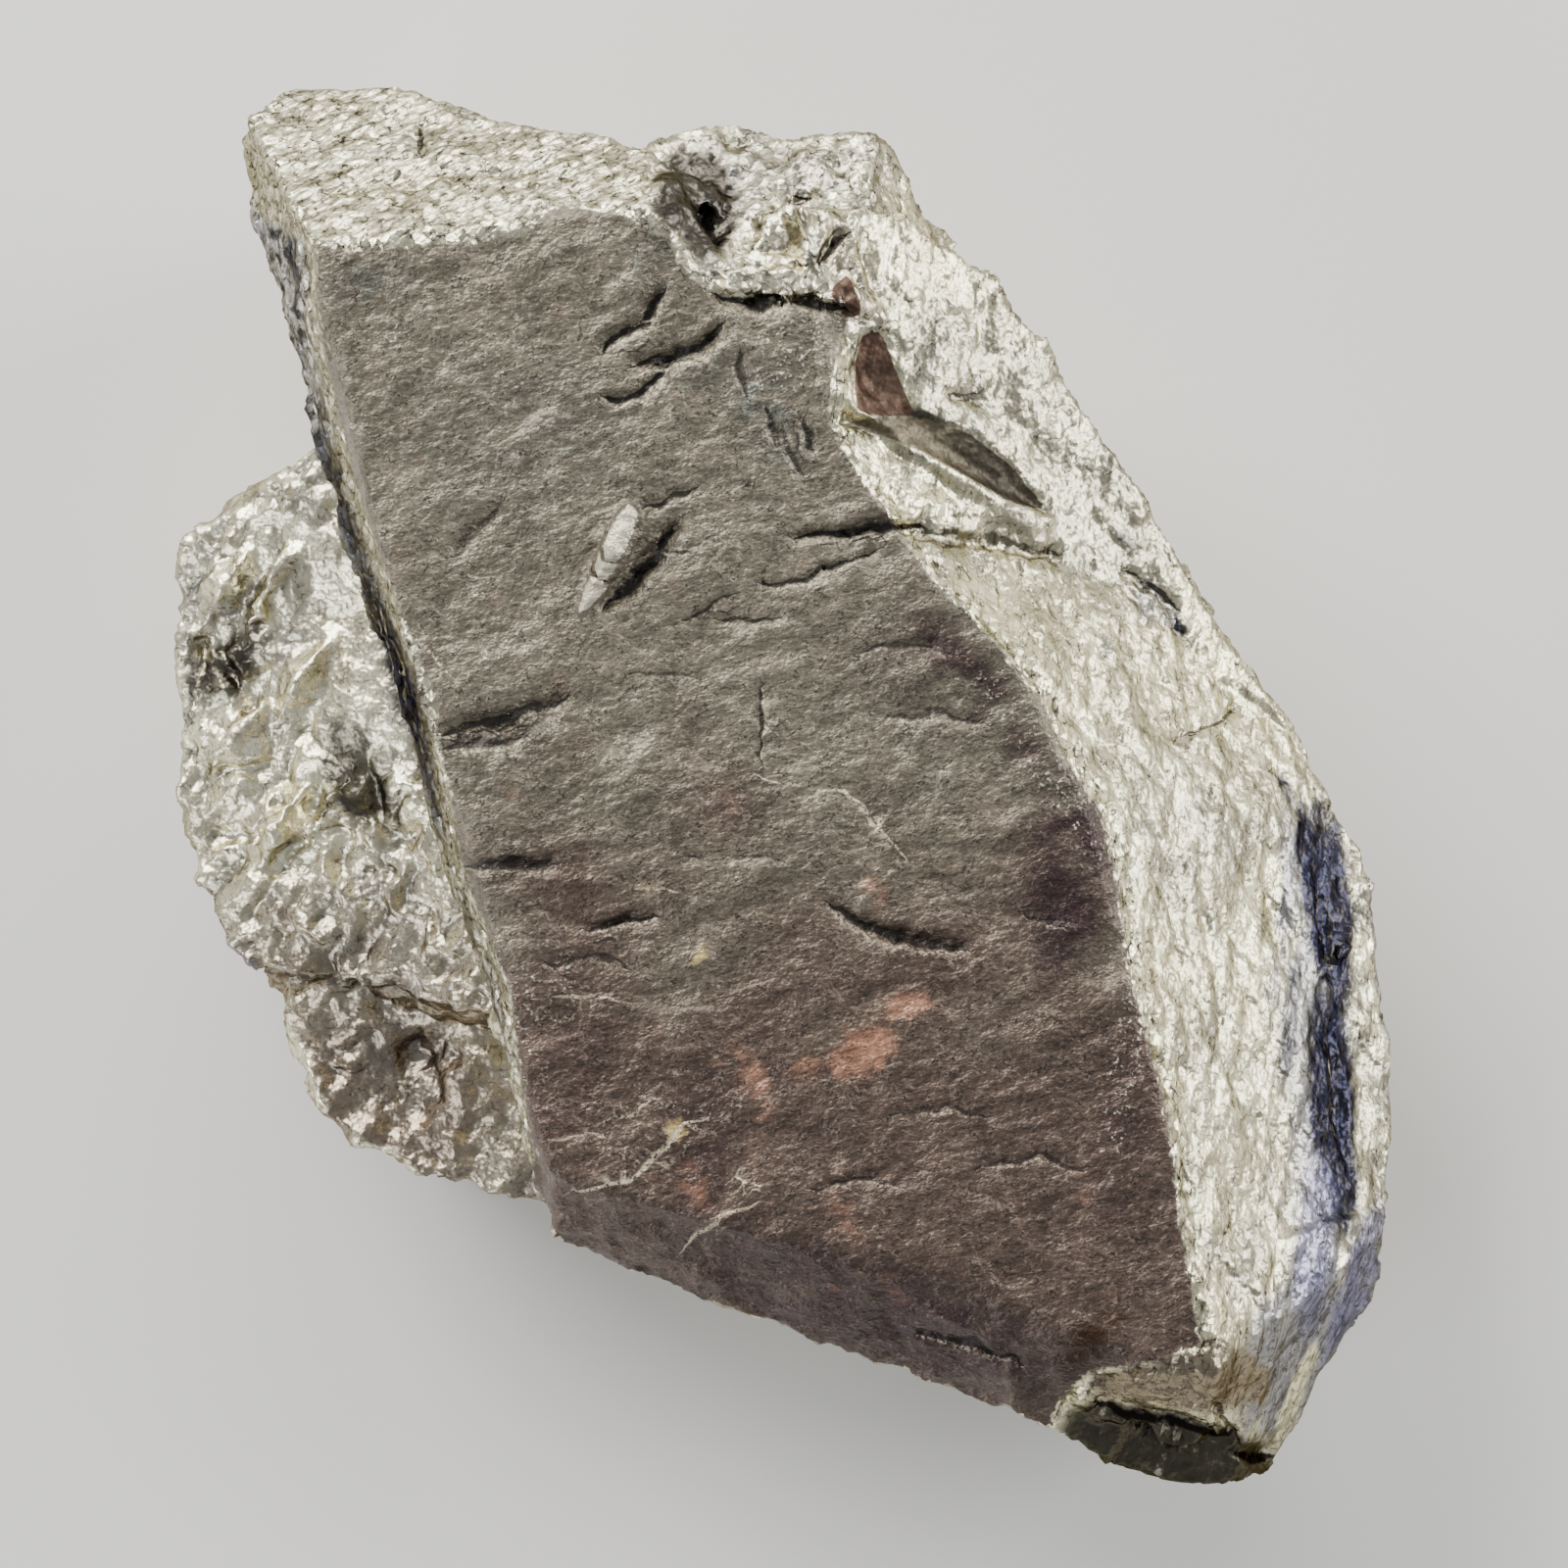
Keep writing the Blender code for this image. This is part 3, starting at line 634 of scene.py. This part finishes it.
def darkRelief(p, uv):
    v = reliefValues["dark"]
    level = np.zeros(len(p))
    warp = np.stack([layered(p / 4.0, 11, 2), layered(p / 4.0, 12, 2), level], axis=1)
    q = p + warp * 1.2
    swell = layered(stretch(q, 12, 8, 5, 9), 20, 2) * v["swell"]
    lumps = layered(stretch(q, 20, 2.3, 1.6, 3), 21, 3) * v["lumps"]
    crinkle = ridged(stretch(q, 14, 1.3, 0.85, 2), 22, 2) * v["crinkle"]
    low = ramp(-uv[:, 1], -2, 10)
    slanting = ridged(stretch(q, -62, 2.8, 0.9, 2), 23, 2) * v["slanting"] * (0.3 + 0.7 * low)
    return swell + lumps + crinkle + slanting - crackDepth(uv)


def rightRelief(p, uv):
    v = reliefValues["right"]
    lines = layered(stretch(p, 79, 8.0, 0.8, 2.5), 41, 3) * v["lines"]
    broad = layered(p / 4.5, 43, 2) * v["broad"]
    scratches = ramp(ridged(stretch(p, -58, 8.0, 1.6, 4), 44, 1), 0.86, 1.0) * v["scratches"]
    cut = np.maximum(inside(uv, outlines["blade"]), inside(uv, outlines["redFacet"]))
    flat = ramp(cut, -0.2, 0.2)
    wedge = ramp(inside(uv, outlines["wedge"]), -0.25, 0.15)
    step = -flat * v["bladeDrop"] + wedge * v["wedgeRise"]
    # the relief is calmer where the painted blue reflection lies
    flat = np.maximum(flat, ramp(tintField(uv, tints["blueReflection"]), 0.2, 0.9) * 0.6)
    worn = lines + broad + chips(p / 0.9, 45) * v["chips"] - scratches
    return worn * (1 - flat) + step - crackDepth(uv)


def lumpRelief(p, uv):
    v = reliefValues["lump"]
    warp = layered(p / 3.0, 51, 2)[:, None] * np.array([0.9, 0.9, 0.4])
    q = p + warp
    calm = 1 - ramp(tintField(uv, [calmSpot]), 0.1, 0.9) * 0.88
    ridges = (ridged(stretch(q, 40, 2.8, 1.3, 2.4), 52, 2) - 0.5) * v["ridges"]
    pebbles = layered(q / 1.05, 53, 2, 0.45) * v["pebbles"]
    lobe = 1 - ramp(uv[:, 1], -9.5, -8.0)
    ring = (np.hypot((uv[:, 0] + 16.2) / 3.6, (uv[:, 1] + 11.2) / 3.4) - 1) / 0.22
    rim = np.exp(-ring ** 2) * v["rim"] * lobe
    middle = np.hypot((uv[:, 0] + 15.2) / 1.8, (uv[:, 1] + 11.4) / 1.8)
    pocket = np.exp(-middle ** 2) * v["pocket"] * lobe
    grain = layered(q / 0.6, 54, 2) * v["grain"]
    bumps = (ridges * (1 - lobe * 0.6) + pebbles) * calm
    return bumps + grain + rim - pocket - crackDepth(uv)


def blockRelief(p, uv):
    v = reliefValues["block"]
    rough = layered(p / 1.7, 61, 3) * v["rough"]
    return rough + chips(p / 0.85, 62) * v["chips"] - crackDepth(uv)


def topLeftRelief(p, uv):
    v = reliefValues["topLeft"]
    grain = ridged(stretch(p, 34, 1.4, 0.55, 1.2), 82, 2) * v["grain"]
    broad = layered(p / 2.6, 81, 3) * v["broad"]
    return grain + broad + chips(p / 0.7, 84) * v["chips"] - crackDepth(uv)


def stripRelief(p, uv):
    v = reliefValues["strip"]
    return chips(p / 0.7, 85) * v["chips"] + layered(p / 2.0, 83, 2) * v["broad"]


def flankRelief(p, uv):
    v = reliefValues["flank"]
    steps = layered(stretch(p, 20, 6, 4, 5), 71, 3) * v["treads"]
    tread = np.floor(steps)
    terraces = (tread + ramp(steps - tread, 0.8, 1.0)) / v["treads"] * v["terraces"]
    chipped = terraces * v["terraceShare"] + chips(p / 1.8, 72) * v["chips"]
    return chipped + layered(p / 0.7, 73, 2) * v["grain"]


reliefs = {
    "darkZone": darkRelief, "right": rightRelief, "lump": lumpRelief, "block": blockRelief,
    "topLeft": topLeftRelief, "strip": stripRelief, "flank": flankRelief,
}


def carve(body):
    points, normals = readPoints(body.data)
    uv, visible, sides, zones = zonesOf(points, normals)
    rise = np.zeros(len(points))
    for zone, relief in reliefs.items():
        there = zones[zone] > 0.003
        rise[there] += zones[zone][there] * relief(points[there], uv[there])
    high, lean = bodyValues["flakeRise"]
    rise += ramp(sides["flake"], -0.25, 0.1) * (high + lean * (uv[:, 0] + 7) / 1.5)
    rise *= ramp(points[:, 2], *bodyValues["baseFade"])
    moved = points + normals * rise[:, None]
    gap = bodyValues["groundGap"]
    moved[:, 2] = np.where(points[:, 2] > gap, np.maximum(moved[:, 2], gap), points[:, 2])
    writePoints(body.data, moved)


def thin(body):
    body.data.calc_loop_triangles()
    modifier = body.modifiers.new("thin", "DECIMATE")
    modifier.ratio = min(1.0, bodyValues["triangles"] / len(body.data.loop_triangles))
    applyModifiers(body)


# Tones of the tarnish and of the metal, and of painted shade and a painted blue reflection
finish = {
    "bright": (0.68, 0.625, 0.45),
    "brightGrey": (0.47, 0.44, 0.355),
    "cream": (0.96, 0.90, 0.66),
    # dark of the painted shade in hollows and pits
    "paintedShade": (0.044, 0.039, 0.034),
    # painted shade in the lump's hollows
    "lumpShade": (0.150, 0.143, 0.128),
    "silver": (0.70, 0.69, 0.68),
    "steel": (0.26, 0.265, 0.34),
    "umber": (0.30, 0.24, 0.18),
    "olive": (0.40, 0.365, 0.22),
    "stripDark": (0.060, 0.062, 0.082),
    # the dark face: tarnish tones, kept dark partly as a painted reflection of dark surroundings
    "darkUpper": (0.192, 0.168, 0.125),
    "darkGreen": (0.105, 0.113, 0.098),
    "darkLower": (0.108, 0.076, 0.059),
    "maroon": (0.042, 0.022, 0.023),
    "salmon": (0.40, 0.20, 0.13),
    "rust": (0.040, 0.018, 0.008),
    # painted blue reflection
    "blueReflection": (0.021, 0.022, 0.046),
    "violet": (0.20, 0.20, 0.36),
    "reddish": (0.17, 0.118, 0.092),
    "gold": (0.68, 0.52, 0.21),
    "bevel": (0.30, 0.25, 0.195),
}


def blend(tone, colour, amount):
    return tone + (np.array(finish[colour]) - tone) * np.clip(amount, 0, 1)[:, None]


# Noises that break up the tones: size in mm, or turn and sizes, then seed, layers and strength
mottles = {
    "speck": (0.6, 109, 2, 0.26),
    "blotch": (1.9, 103, 3, 0.26),
    "cloud": (5.5, 101, 2, 0.24),
    "flow": ((-62, 2.8, 0.8, 1.2), 105, 2, 0.28),
    "smear": ((84, 3.4, 1.1, 1.2), 107, 2, 0.28),
    "striae": ((79, 5.0, 0.55, 1.2), 111, 2, 0.28),
}


def mottle(points, name):
    size, seed, octaves, strength = mottles[name]
    place = stretch(points, *size) if isinstance(size, tuple) else points / size
    return layered(place, seed, octaves) * strength


# The tarnish and the bright metal under it, with painted shade, painted highlights and a painted
# blue reflection, before the fine grain of the material
def paint(points, uv, visible, sides, zones):
    speck, blotch, cloud, flow, smear, striae = (mottle(points, name) for name in mottles)
    spot = {name: tintField(uv, spots) * visible for name, spots in tints.items()}
    # the painted shade patches also cover steep walls from 9 to 13 mm up
    upper = np.maximum(visible, ramp(points[:, 2], 9, 13))
    spot["shade"] = tintField(uv, tints["shade"]) * upper
    # painted shade in the low places of the lump's relief
    lumpHollowShade = ramp(-lumpRelief(points, uv) + speck * 0.5, -0.02, 0.30)
    # painted shade where the shade patches lie, broken up by noise
    shadePatch = ramp(spot["shade"] + speck * 0.9 + blotch * 0.8, 0.35, 0.85)

    # the dark face: tarnish, and partly a painted dark reflection, darker and browner towards the
    # bottom
    skin = blend(np.tile(finish["darkUpper"], (len(uv), 1)), "darkLower",
                 ramp(-uv[:, 1] / 30 + cloud * 0.9, -0.10, 0.36))
    skin = blend(skin, "darkGreen", spot["blueGreen"] * ramp(speck, -0.12, 0.12))
    skin = blend(skin, "maroon", spot["maroon"] * ramp(blotch, -0.22, 0.08))
    skin = blend(skin, "salmon", ramp(spot["salmon"] + speck * 1.6 + flow * 1.5, 0.35, 1.35))
    skin = blend(skin, "rust", ramp(spot["rust"] + speck, 0.3, 0.7))
    skin = blend(skin, "gold", ramp(spot["gold"] + speck, 0.45, 0.7))
    skin *= (0.96 + smear * 0.55 + blotch * 0.65 + flow * 0.35 + speck * 0.5)[:, None]
    # painted shade darkens the dark face too
    skin *= (1 - shadePatch * 0.6)[:, None]

    metal = blend(np.tile(finish["bright"], (len(uv), 1)), "brightGrey", ramp(cloud, -0.08, 0.14))
    metal = blend(metal, "cream", ramp(blotch, -0.06, 0.12) * 0.9)
    metal = blend(metal, "brightGrey", ramp(spot["satin"] + blotch * 0.8, 0.3, 0.9) * 0.7)
    tarnished = ramp(spot["olive"] + speck * 1.1 + blotch * 0.7, 0.30, 0.95)
    metal = blend(metal, "olive", tarnished * 0.8)
    metal = blend(metal, "reddish", ramp(spot["reddish"] + speck * 0.8, 0.15, 0.95) * 0.8)
    metal = blend(metal, "steel", ramp(spot["steel"] + striae * 1.6, 0.1, 0.8) * 0.8)
    metal = blend(metal, "umber", zones["lump"] * ramp(-uv[:, 1] + blotch * 14, 2.0, 9.0) * 0.75)
    # painted shade in the lump's hollows
    metal = blend(metal, "lumpShade", zones["lump"] * lumpHollowShade * 0.7)
    metal = blend(metal, "silver", zones["strip"] * 0.85)
    metal = blend(metal, "cream", zones["topLeft"] * 0.6)
    stripLow = ramp(15 - uv[:, 1], -2, 3) * ramp(uv[:, 1], -10, -4)
    stripSpecks = ramp(stripLow * 0.3 - speck - blotch * 0.4, -0.02, 0.08)
    metal = blend(metal, "stripDark", zones["strip"] * stripSpecks * 0.95)
    # painted highlights: the cream of the highlight patches
    metal = blend(metal, "cream", ramp(spot["highlight"] + speck * 1.2 + striae, 0.4, 0.7) * 0.9)
    # painted blue reflection, in streaks
    reflectedBlue = ramp(spot["blueReflection"] + striae * 1.2 + speck * 0.3, 0.30, 0.85)
    metal = blend(metal, "blueReflection", reflectedBlue * 0.98)
    metal = blend(metal, "violet", ramp(spot["violet"] + speck * 0.7, 0.2, 0.9) * 0.85)
    # painted shade in the shade patches
    metal = blend(metal, "paintedShade", shadePatch * 0.94)
    # painted shade: black dots of pits on the block
    pitShade = ramp(speck, 0.10, 0.16) * zones["block"] * ramp(blotch, 0.0, 0.1)
    metal = blend(metal, "paintedShade", pitShade * 0.85)
    # painted highlight: a cream rim along the edge of the dark face
    beyond = 1 - ramp(sides["dark"], -0.1, 0.1)
    rim = ramp(sides["dark"] + speck * 0.6, -0.75, -0.10) * beyond * visible
    metal = blend(metal, "cream", rim * 0.9)
    metal = blend(metal, "bevel", ramp(sides["bottomFacet"] + speck * 0.8, -0.2, 0.2))
    metal *= (1 + striae * 0.35 * zones["right"] + speck * 0.25)[:, None]
    metal *= 1 - zones["right"][:, None] * np.array([0.07, 0.075, 0.15])
    return skin, metal, rim, spot


def storeFields(body):
    points, normals = readPoints(body.data)
    uv, visible, sides, zones = zonesOf(points, normals)
    skin, metal, rim, spot = paint(points, uv, visible, sides, zones)
    wandered = wander(uv)
    darkSide = np.clip(sides["dark"], -2, 2)
    crackSide, crackNear = lineField(wandered, cracks)
    veinSide, veinNear = lineField(wandered, veins, reach=0.5)
    reds = np.maximum(sides["redFacet"], sides["redPit"])
    panels = np.maximum(sides["blade"], reds)
    redness = np.where(reds > sides["blade"], 1.0, -ramp(-uv[:, 0], -8.6, -5.8))
    tilts = bodyValues["sparkling"].items()
    sparkling = sum(zones[name] * amount for name, amount in tilts) + rim * 0.9
    sparkling *= (1 - ramp(spot["shade"], 0.2, 0.6)) * (1 - ramp(panels, -0.15, 0.05))
    streaked = zones["right"] * (1 - spot["satin"] * 0.6)
    grained = zones["topLeft"] + zones["strip"] * 0.6
    fields = {
        "skinTone": skin,
        "metalTone": metal,
        "lines": (darkSide, np.clip(crackSide, -6, 6), np.clip(veinSide, -6, 6)),
        "near": (crackNear * visible, veinNear * visible, spot["sparkle"]),
        "panel": (np.clip(panels, -2, 2), np.clip(sides["flake"], -2, 2), redness),
        "grainMix": (sparkling, streaked, grained),
    }
    for name, values in fields.items():
        if isinstance(values, tuple):
            values = np.column_stack(values)
        layer = body.data.attributes.new(name, "FLOAT_VECTOR", "POINT")
        layer.data.foreach_set("vector", np.clip(values, -6, 6).astype(np.float32).ravel())


def makeBody():
    body = cadCopy()
    spots = crystalEdgePoints(body.data)
    modifier = body.modifiers.new("remesh", "REMESH")
    modifier.mode = "VOXEL"
    modifier.voxel_size = bodyValues["voxel"] * mm
    applyModifiers(body)
    print("remeshed", len(body.data.vertices))
    smoothFacets(body, spots)
    print("facets smoothed")
    carve(body)
    print("surface carved")
    thin(body)
    writePoints(body.data, readPoints(body.data)[0])
    activate(body)
    bpy.ops.object.shade_smooth()
    storeFields(body)
    print("body done", len(body.data.polygons))
    return body


# A socket that takes part in sums
class Sock:
    def __init__(self, nodes, socket):
        self.nodes = nodes
        self.socket = socket

    def math(self, operation, *values):
        return self.nodes.add("ShaderNodeMath", {"operation": operation}, values)

    def __add__(self, other):
        return self.math("ADD", self, other)

    def __radd__(self, other):
        return self.math("ADD", self, other)

    def __sub__(self, other):
        return self.math("SUBTRACT", self, other)

    def __rsub__(self, other):
        return self.math("SUBTRACT", other, self)

    def __mul__(self, other):
        return self.math("MULTIPLY", self, other)

    def __rmul__(self, other):
        return self.math("MULTIPLY", self, other)

    def __abs__(self):
        return self.math("ABSOLUTE", self)


class Nodes:
    def __init__(self, material):
        material.use_nodes = True
        self.tree = material.node_tree
        self.tree.nodes.clear()

    def add(self, kind, settings=None, inputs=None, output=0):
        node = self.tree.nodes.new(kind)
        for name, value in (settings or {}).items():
            setattr(node, name, value)
        pairs = inputs.items() if isinstance(inputs, dict) else enumerate(inputs or [])
        for key, value in pairs:
            if isinstance(value, Sock):
                self.tree.links.new(value.socket, node.inputs[key])
            else:
                node.inputs[key].default_value = value
        return Sock(self, node.outputs[output]) if len(node.outputs) else None

    def also(self, sock, output):
        return Sock(self, sock.socket.node.outputs[output])

    def vector(self, operation, *values, output=0):
        return self.add("ShaderNodeVectorMath", {"operation": operation}, values, output)

    def mix(self, factor, a, b):
        return self.add("ShaderNodeMix", {"data_type": "RGBA"}, {0: factor, 6: a, 7: b}, output=2)

    def shade(self, colour, factor):
        grey = self.add("ShaderNodeCombineXYZ", {}, [factor, factor, factor])
        return self.vector("MULTIPLY", colour, grey)

    # 0 below low, 1 above high
    def band(self, value, low, high):
        smoothly = {"interpolation_type": "SMOOTHSTEP"}
        return self.add("ShaderNodeMapRange", smoothly, [value, low, high, 0.0, 1.0])

    def noise(self, place, scale, detail=3.0, roughness=0.55):
        values = {"Vector": place, "Scale": scale, "Detail": detail, "Roughness": roughness}
        return self.add("ShaderNodeTexNoise", {}, values)

    # Place turned about Z and drawn out, in mm
    def drawn(self, place, turn, along, across, deep):
        values = {"Vector": place, "Angle": -math.radians(turn)}
        turned = self.add("ShaderNodeVectorRotate", {"rotation_type": "Z_AXIS"}, values)
        return self.vector("MULTIPLY", turned, (1 / along, 1 / across, 1 / deep))

    def parts(self, name):
        vector = self.add("ShaderNodeAttribute", {"attribute_name": name}, output="Vector")
        split = self.add("ShaderNodeSeparateXYZ", {}, [vector])
        return split, self.also(split, "Y"), self.also(split, "Z")

    def tone(self, name):
        return self.add("ShaderNodeAttribute", {"attribute_name": name}, output="Color")

    # Height in mm
    def bump(self, height):
        values = {"Strength": 1.0, "Distance": mm, "Height": height}
        return self.add("ShaderNodeBump", {}, values)

    # Thin lines where a noise passes its middle, 1 on the line
    def threads(self, value, width):
        return 1 - self.band(abs(value - 0.5), 0.0, width)


# Tones of the fine grain, with painted shade, painted shadow in cracks and painted glints
pyriteValues = {
    # cream of the painted glints
    "cream": (0.95, 0.91, 0.74, 1),
    # dark of the painted shade in seams and fine grooves of the bright faces
    "paintedShade": (0.070, 0.062, 0.050, 1),
    # painted shadow in cracks
    "crackShadow": (0.010, 0.008, 0.007, 1),
    "vein": (0.60, 0.52, 0.37, 1),
    "flake": (0.64, 0.58, 0.45, 1),
    # painted shade of the blade facet, which faces away from the light, lighter towards its left
    # end
    "blade": (0.050, 0.042, 0.034, 1),
    "bladeEnd": (0.150, 0.128, 0.090, 1),
    "redFacet": (0.085, 0.046, 0.036, 1),
    "skinMetallic": 0.55,
    "skinRoughness": 0.46,
    "metalRoughness": 0.27,
    "grazing": (0.38, 0.36, 0.30, 1),  # tint of the metal where it is seen edge on
}


def pyriteMaterial():
    material = bpy.data.materials.new("pyriteFinish")
    n = Nodes(material)
    v = pyriteValues
    objectPlace = n.add("ShaderNodeTexCoord", output="Object")
    toMm = {0: objectPlace, "Scale": 1 / mm}
    place = n.add("ShaderNodeVectorMath", {"operation": "SCALE"}, toMm)
    speck = n.noise(place, 2.4, 2, 0.6)
    grit = n.noise(place, 7.0, 1, 0.5)
    uneven = speck - 0.5
    darkSide, crackSide, veinSide = n.parts("lines")
    crackNear, veinNear, sparkle = n.parts("near")
    panelSide, flakeSide, redness = n.parts("panel")

    dark = n.band(darkSide + uneven * 0.7, -0.06, 0.08)
    crackSide = crackSide + uneven * 0.9
    crack = (1 - n.band(abs(crackSide), 0.45, 0.95)) * crackNear * 0.95
    veinBody = 1 - n.band(abs(veinSide) + (grit - 0.5) * 1.6, 0.4, 1.1)
    vein = veinBody * veinNear * n.band(grit, 0.34, 0.5)
    flake = n.band(flakeSide + uneven * 0.2, -0.10, -0.02)

    # The dark face, tarnish and partly a painted dark reflection: short cracks in a scaly skin
    scales = n.noise(n.drawn(place, 14, 1.1, 0.70, 1.0), 1.0, 3, 0.62)
    hair = n.threads(scales, 0.026) * n.band(speck, 0.44, 0.54)
    grainy = n.band(speck, 0.28, 0.74) * 0.45 + n.band(grit, 0.28, 0.72) * 0.34 + 0.62
    skin = n.shade(n.tone("skinTone"), grainy)
    # painted shadow in the short cracks
    skin = n.mix(hair * 0.8, skin, v["crackShadow"])
    # painted glints: cream specks in the colour, most where the sparkle patches lie
    glint = n.band(grit, 0.56, 0.64) * n.band(speck, 0.50, 0.60)
    skin = n.mix(glint * (sparkle * 0.95 + 0.06), skin, v["cream"])
    # painted highlight on the lit lower lip of each crack
    lipHighlight = n.band(crackSide, -2.6, -1.4) * (1 - n.band(crackSide, -1.3, -0.7)) * crackNear
    skin = n.mix(lipHighlight * n.band(grit, 0.40, 0.62) * 0.55, skin, v["vein"])
    # painted shadow in the cracks
    skin = n.mix(crack, skin, v["crackShadow"])
    skin = n.mix(vein, skin, v["vein"])
    skin = n.mix(flake, skin, v["flake"])
    skinNormal = n.bump((scales - 0.5) * 0.26 + (speck - 0.5) * 0.12)
    skinShader = n.add("ShaderNodeBsdfPrincipled", {}, {
        "Base Color": skin, "Metallic": v["skinMetallic"], "Roughness": v["skinRoughness"],
        "Normal": skinNormal,
    })

    # The bright faces: satin metal of small tilted chips, crossed by thin threads of painted shade
    worm = n.noise(place, 1.3, 2, 0.5)
    striae = n.noise(n.drawn(place, 79, 6.0, 0.6, 1.2), 1.0, 2, 0.5)
    grain = n.noise(n.drawn(place, 34, 0.9, 0.28, 0.6), 1.0, 1, 0.5)
    sparkling, streaked, grained = n.parts("grainMix")
    chip = n.add("ShaderNodeTexVoronoi", {}, {"Vector": place, "Scale": 2.2}, output="Color")
    seamShade = n.band(n.also(chip, "Distance") + uneven * 0.5, 0.42, 0.68)
    seamShade = seamShade * n.band(sparkling, 0.05, 0.5) * 0.45
    thread = n.threads(worm, 0.022) * n.band(speck, 0.38, 0.52) * 0.75
    line = n.threads(striae, 0.02) * streaked * 0.6
    fine = n.threads(grain, 0.05) * grained * 0.45
    metal = n.shade(n.tone("metalTone"), n.band(speck, 0.30, 0.70) * 0.36 + 0.86)
    # painted shade in the seams between chips and in the fine grooves
    metal = n.mix(n.add("ShaderNodeClamp", {}, [thread + line + fine + seamShade]), metal, v["paintedShade"])
    # the blade facet's painted shade, and the red facet's own tone
    panelTone = n.mix(redness * -1, v["blade"], v["bladeEnd"])
    panelTone = n.mix(n.band(redness, 0.4, 0.6), panelTone, v["redFacet"])
    panelTone = n.shade(panelTone, n.band(speck, 0.3, 0.7) * 0.5 + 0.75)
    panel = n.band(panelSide + uneven * 0.2, -0.03, 0.06)
    metal = n.mix(panel * 0.95, metal, panelTone)
    # painted shadow in the cracks
    metal = n.mix(crack, metal, v["crackShadow"])
    lean = n.vector("SUBTRACT", chip, (0.5, 0.5, 0.5))
    away = n.vector("SUBTRACT", place, n.also(chip, "Position"))
    tilt = n.vector("DOT_PRODUCT", lean, away, output=1)
    height = tilt * sparkling + (worm - 0.5) * 0.20 + (striae - 0.5) * streaked * 0.10
    height = height + (grain - 0.5) * grained * 0.12
    metalShader = n.add("ShaderNodeBsdfPrincipled", {}, {
        "Base Color": metal, "Metallic": 1.0, "Specular Tint": v["grazing"],
        "Roughness": n.band(grit, 0.3, 0.7) * 0.12 + panel * 0.22 + v["metalRoughness"],
        "Normal": n.bump(height),
    })

    mixed = n.add("ShaderNodeMixShader", {}, [dark, metalShader, skinShader])
    n.add("ShaderNodeOutputMaterial", {}, {"Surface": mixed})
    return material


stageValues = {
    "floorSize": 4.0,  # m
    "floorColour": (0.80, 0.79, 0.77, 1),
    "worldColour": (0.62, 0.64, 0.67, 1),
    "worldStrength": 0.62,
    "lens": 135.0,
    "lights": {  # size m, power W, azimuth, elevation, distance m, colour
        "key": (0.9, 34.0, 128, 34, 1.5, (1.0, 0.98, 0.94)),
        "back": (0.8, 15.0, 85, 16, 1.4, (1.0, 0.99, 0.95)),
        "side": (0.8, 18.0, 15, 18, 1.4, (1.0, 1.0, 1.0)),
        "fill": (0.8, 10.0, 215, 26, 1.5, (0.94, 0.96, 1.0)),
    },
}


def makeStage():
    v = stageValues
    bpy.ops.mesh.primitive_plane_add(size=v["floorSize"], location=(0, 0, 0))
    floor = bpy.context.object
    floor.name = "floor"
    material = bpy.data.materials.new("floorPaint")
    n = Nodes(material)
    shader = n.add("ShaderNodeBsdfDiffuse", {}, {"Color": v["floorColour"]})
    n.add("ShaderNodeOutputMaterial", {}, {"Surface": shader})
    floor.data.materials.append(material)
    world = bpy.data.worlds.new("studio")
    bpy.context.scene.world = world
    world.use_nodes = True
    background = world.node_tree.nodes["Background"]
    background.inputs["Color"].default_value = v["worldColour"]
    background.inputs["Strength"].default_value = v["worldStrength"]
    for name, (size, power, azimuth, elevation, distance, colour) in v["lights"].items():
        light = bpy.data.lights.new(name, "AREA")
        light.size = size
        light.energy = power
        light.color = colour
        lamp = bpy.data.objects.new(name, light)
        a, e = math.radians(azimuth), math.radians(elevation)
        way = Vector((math.cos(e) * math.cos(a), math.cos(e) * math.sin(a), math.sin(e)))
        lamp.location = way * distance
        lamp.rotation_euler = way.to_track_quat("Z", "Y").to_euler()
        bpy.context.scene.collection.objects.link(lamp)
    lens = bpy.data.cameras.new("camera")
    camera = bpy.data.objects.new("camera", lens)
    lens.lens = v["lens"]
    lens.clip_start = 0.01
    camera.location = (centreShift[0] * mm, centreShift[1] * mm, eyeHeight * mm)
    bpy.context.scene.collection.objects.link(camera)
    bpy.context.scene.camera = camera


makeStage()
print("stage set")
body = makeBody()
body.data.materials.clear()
body.data.materials.append(pyriteMaterial())
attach(body, "root")
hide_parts("pyrite_cluster")
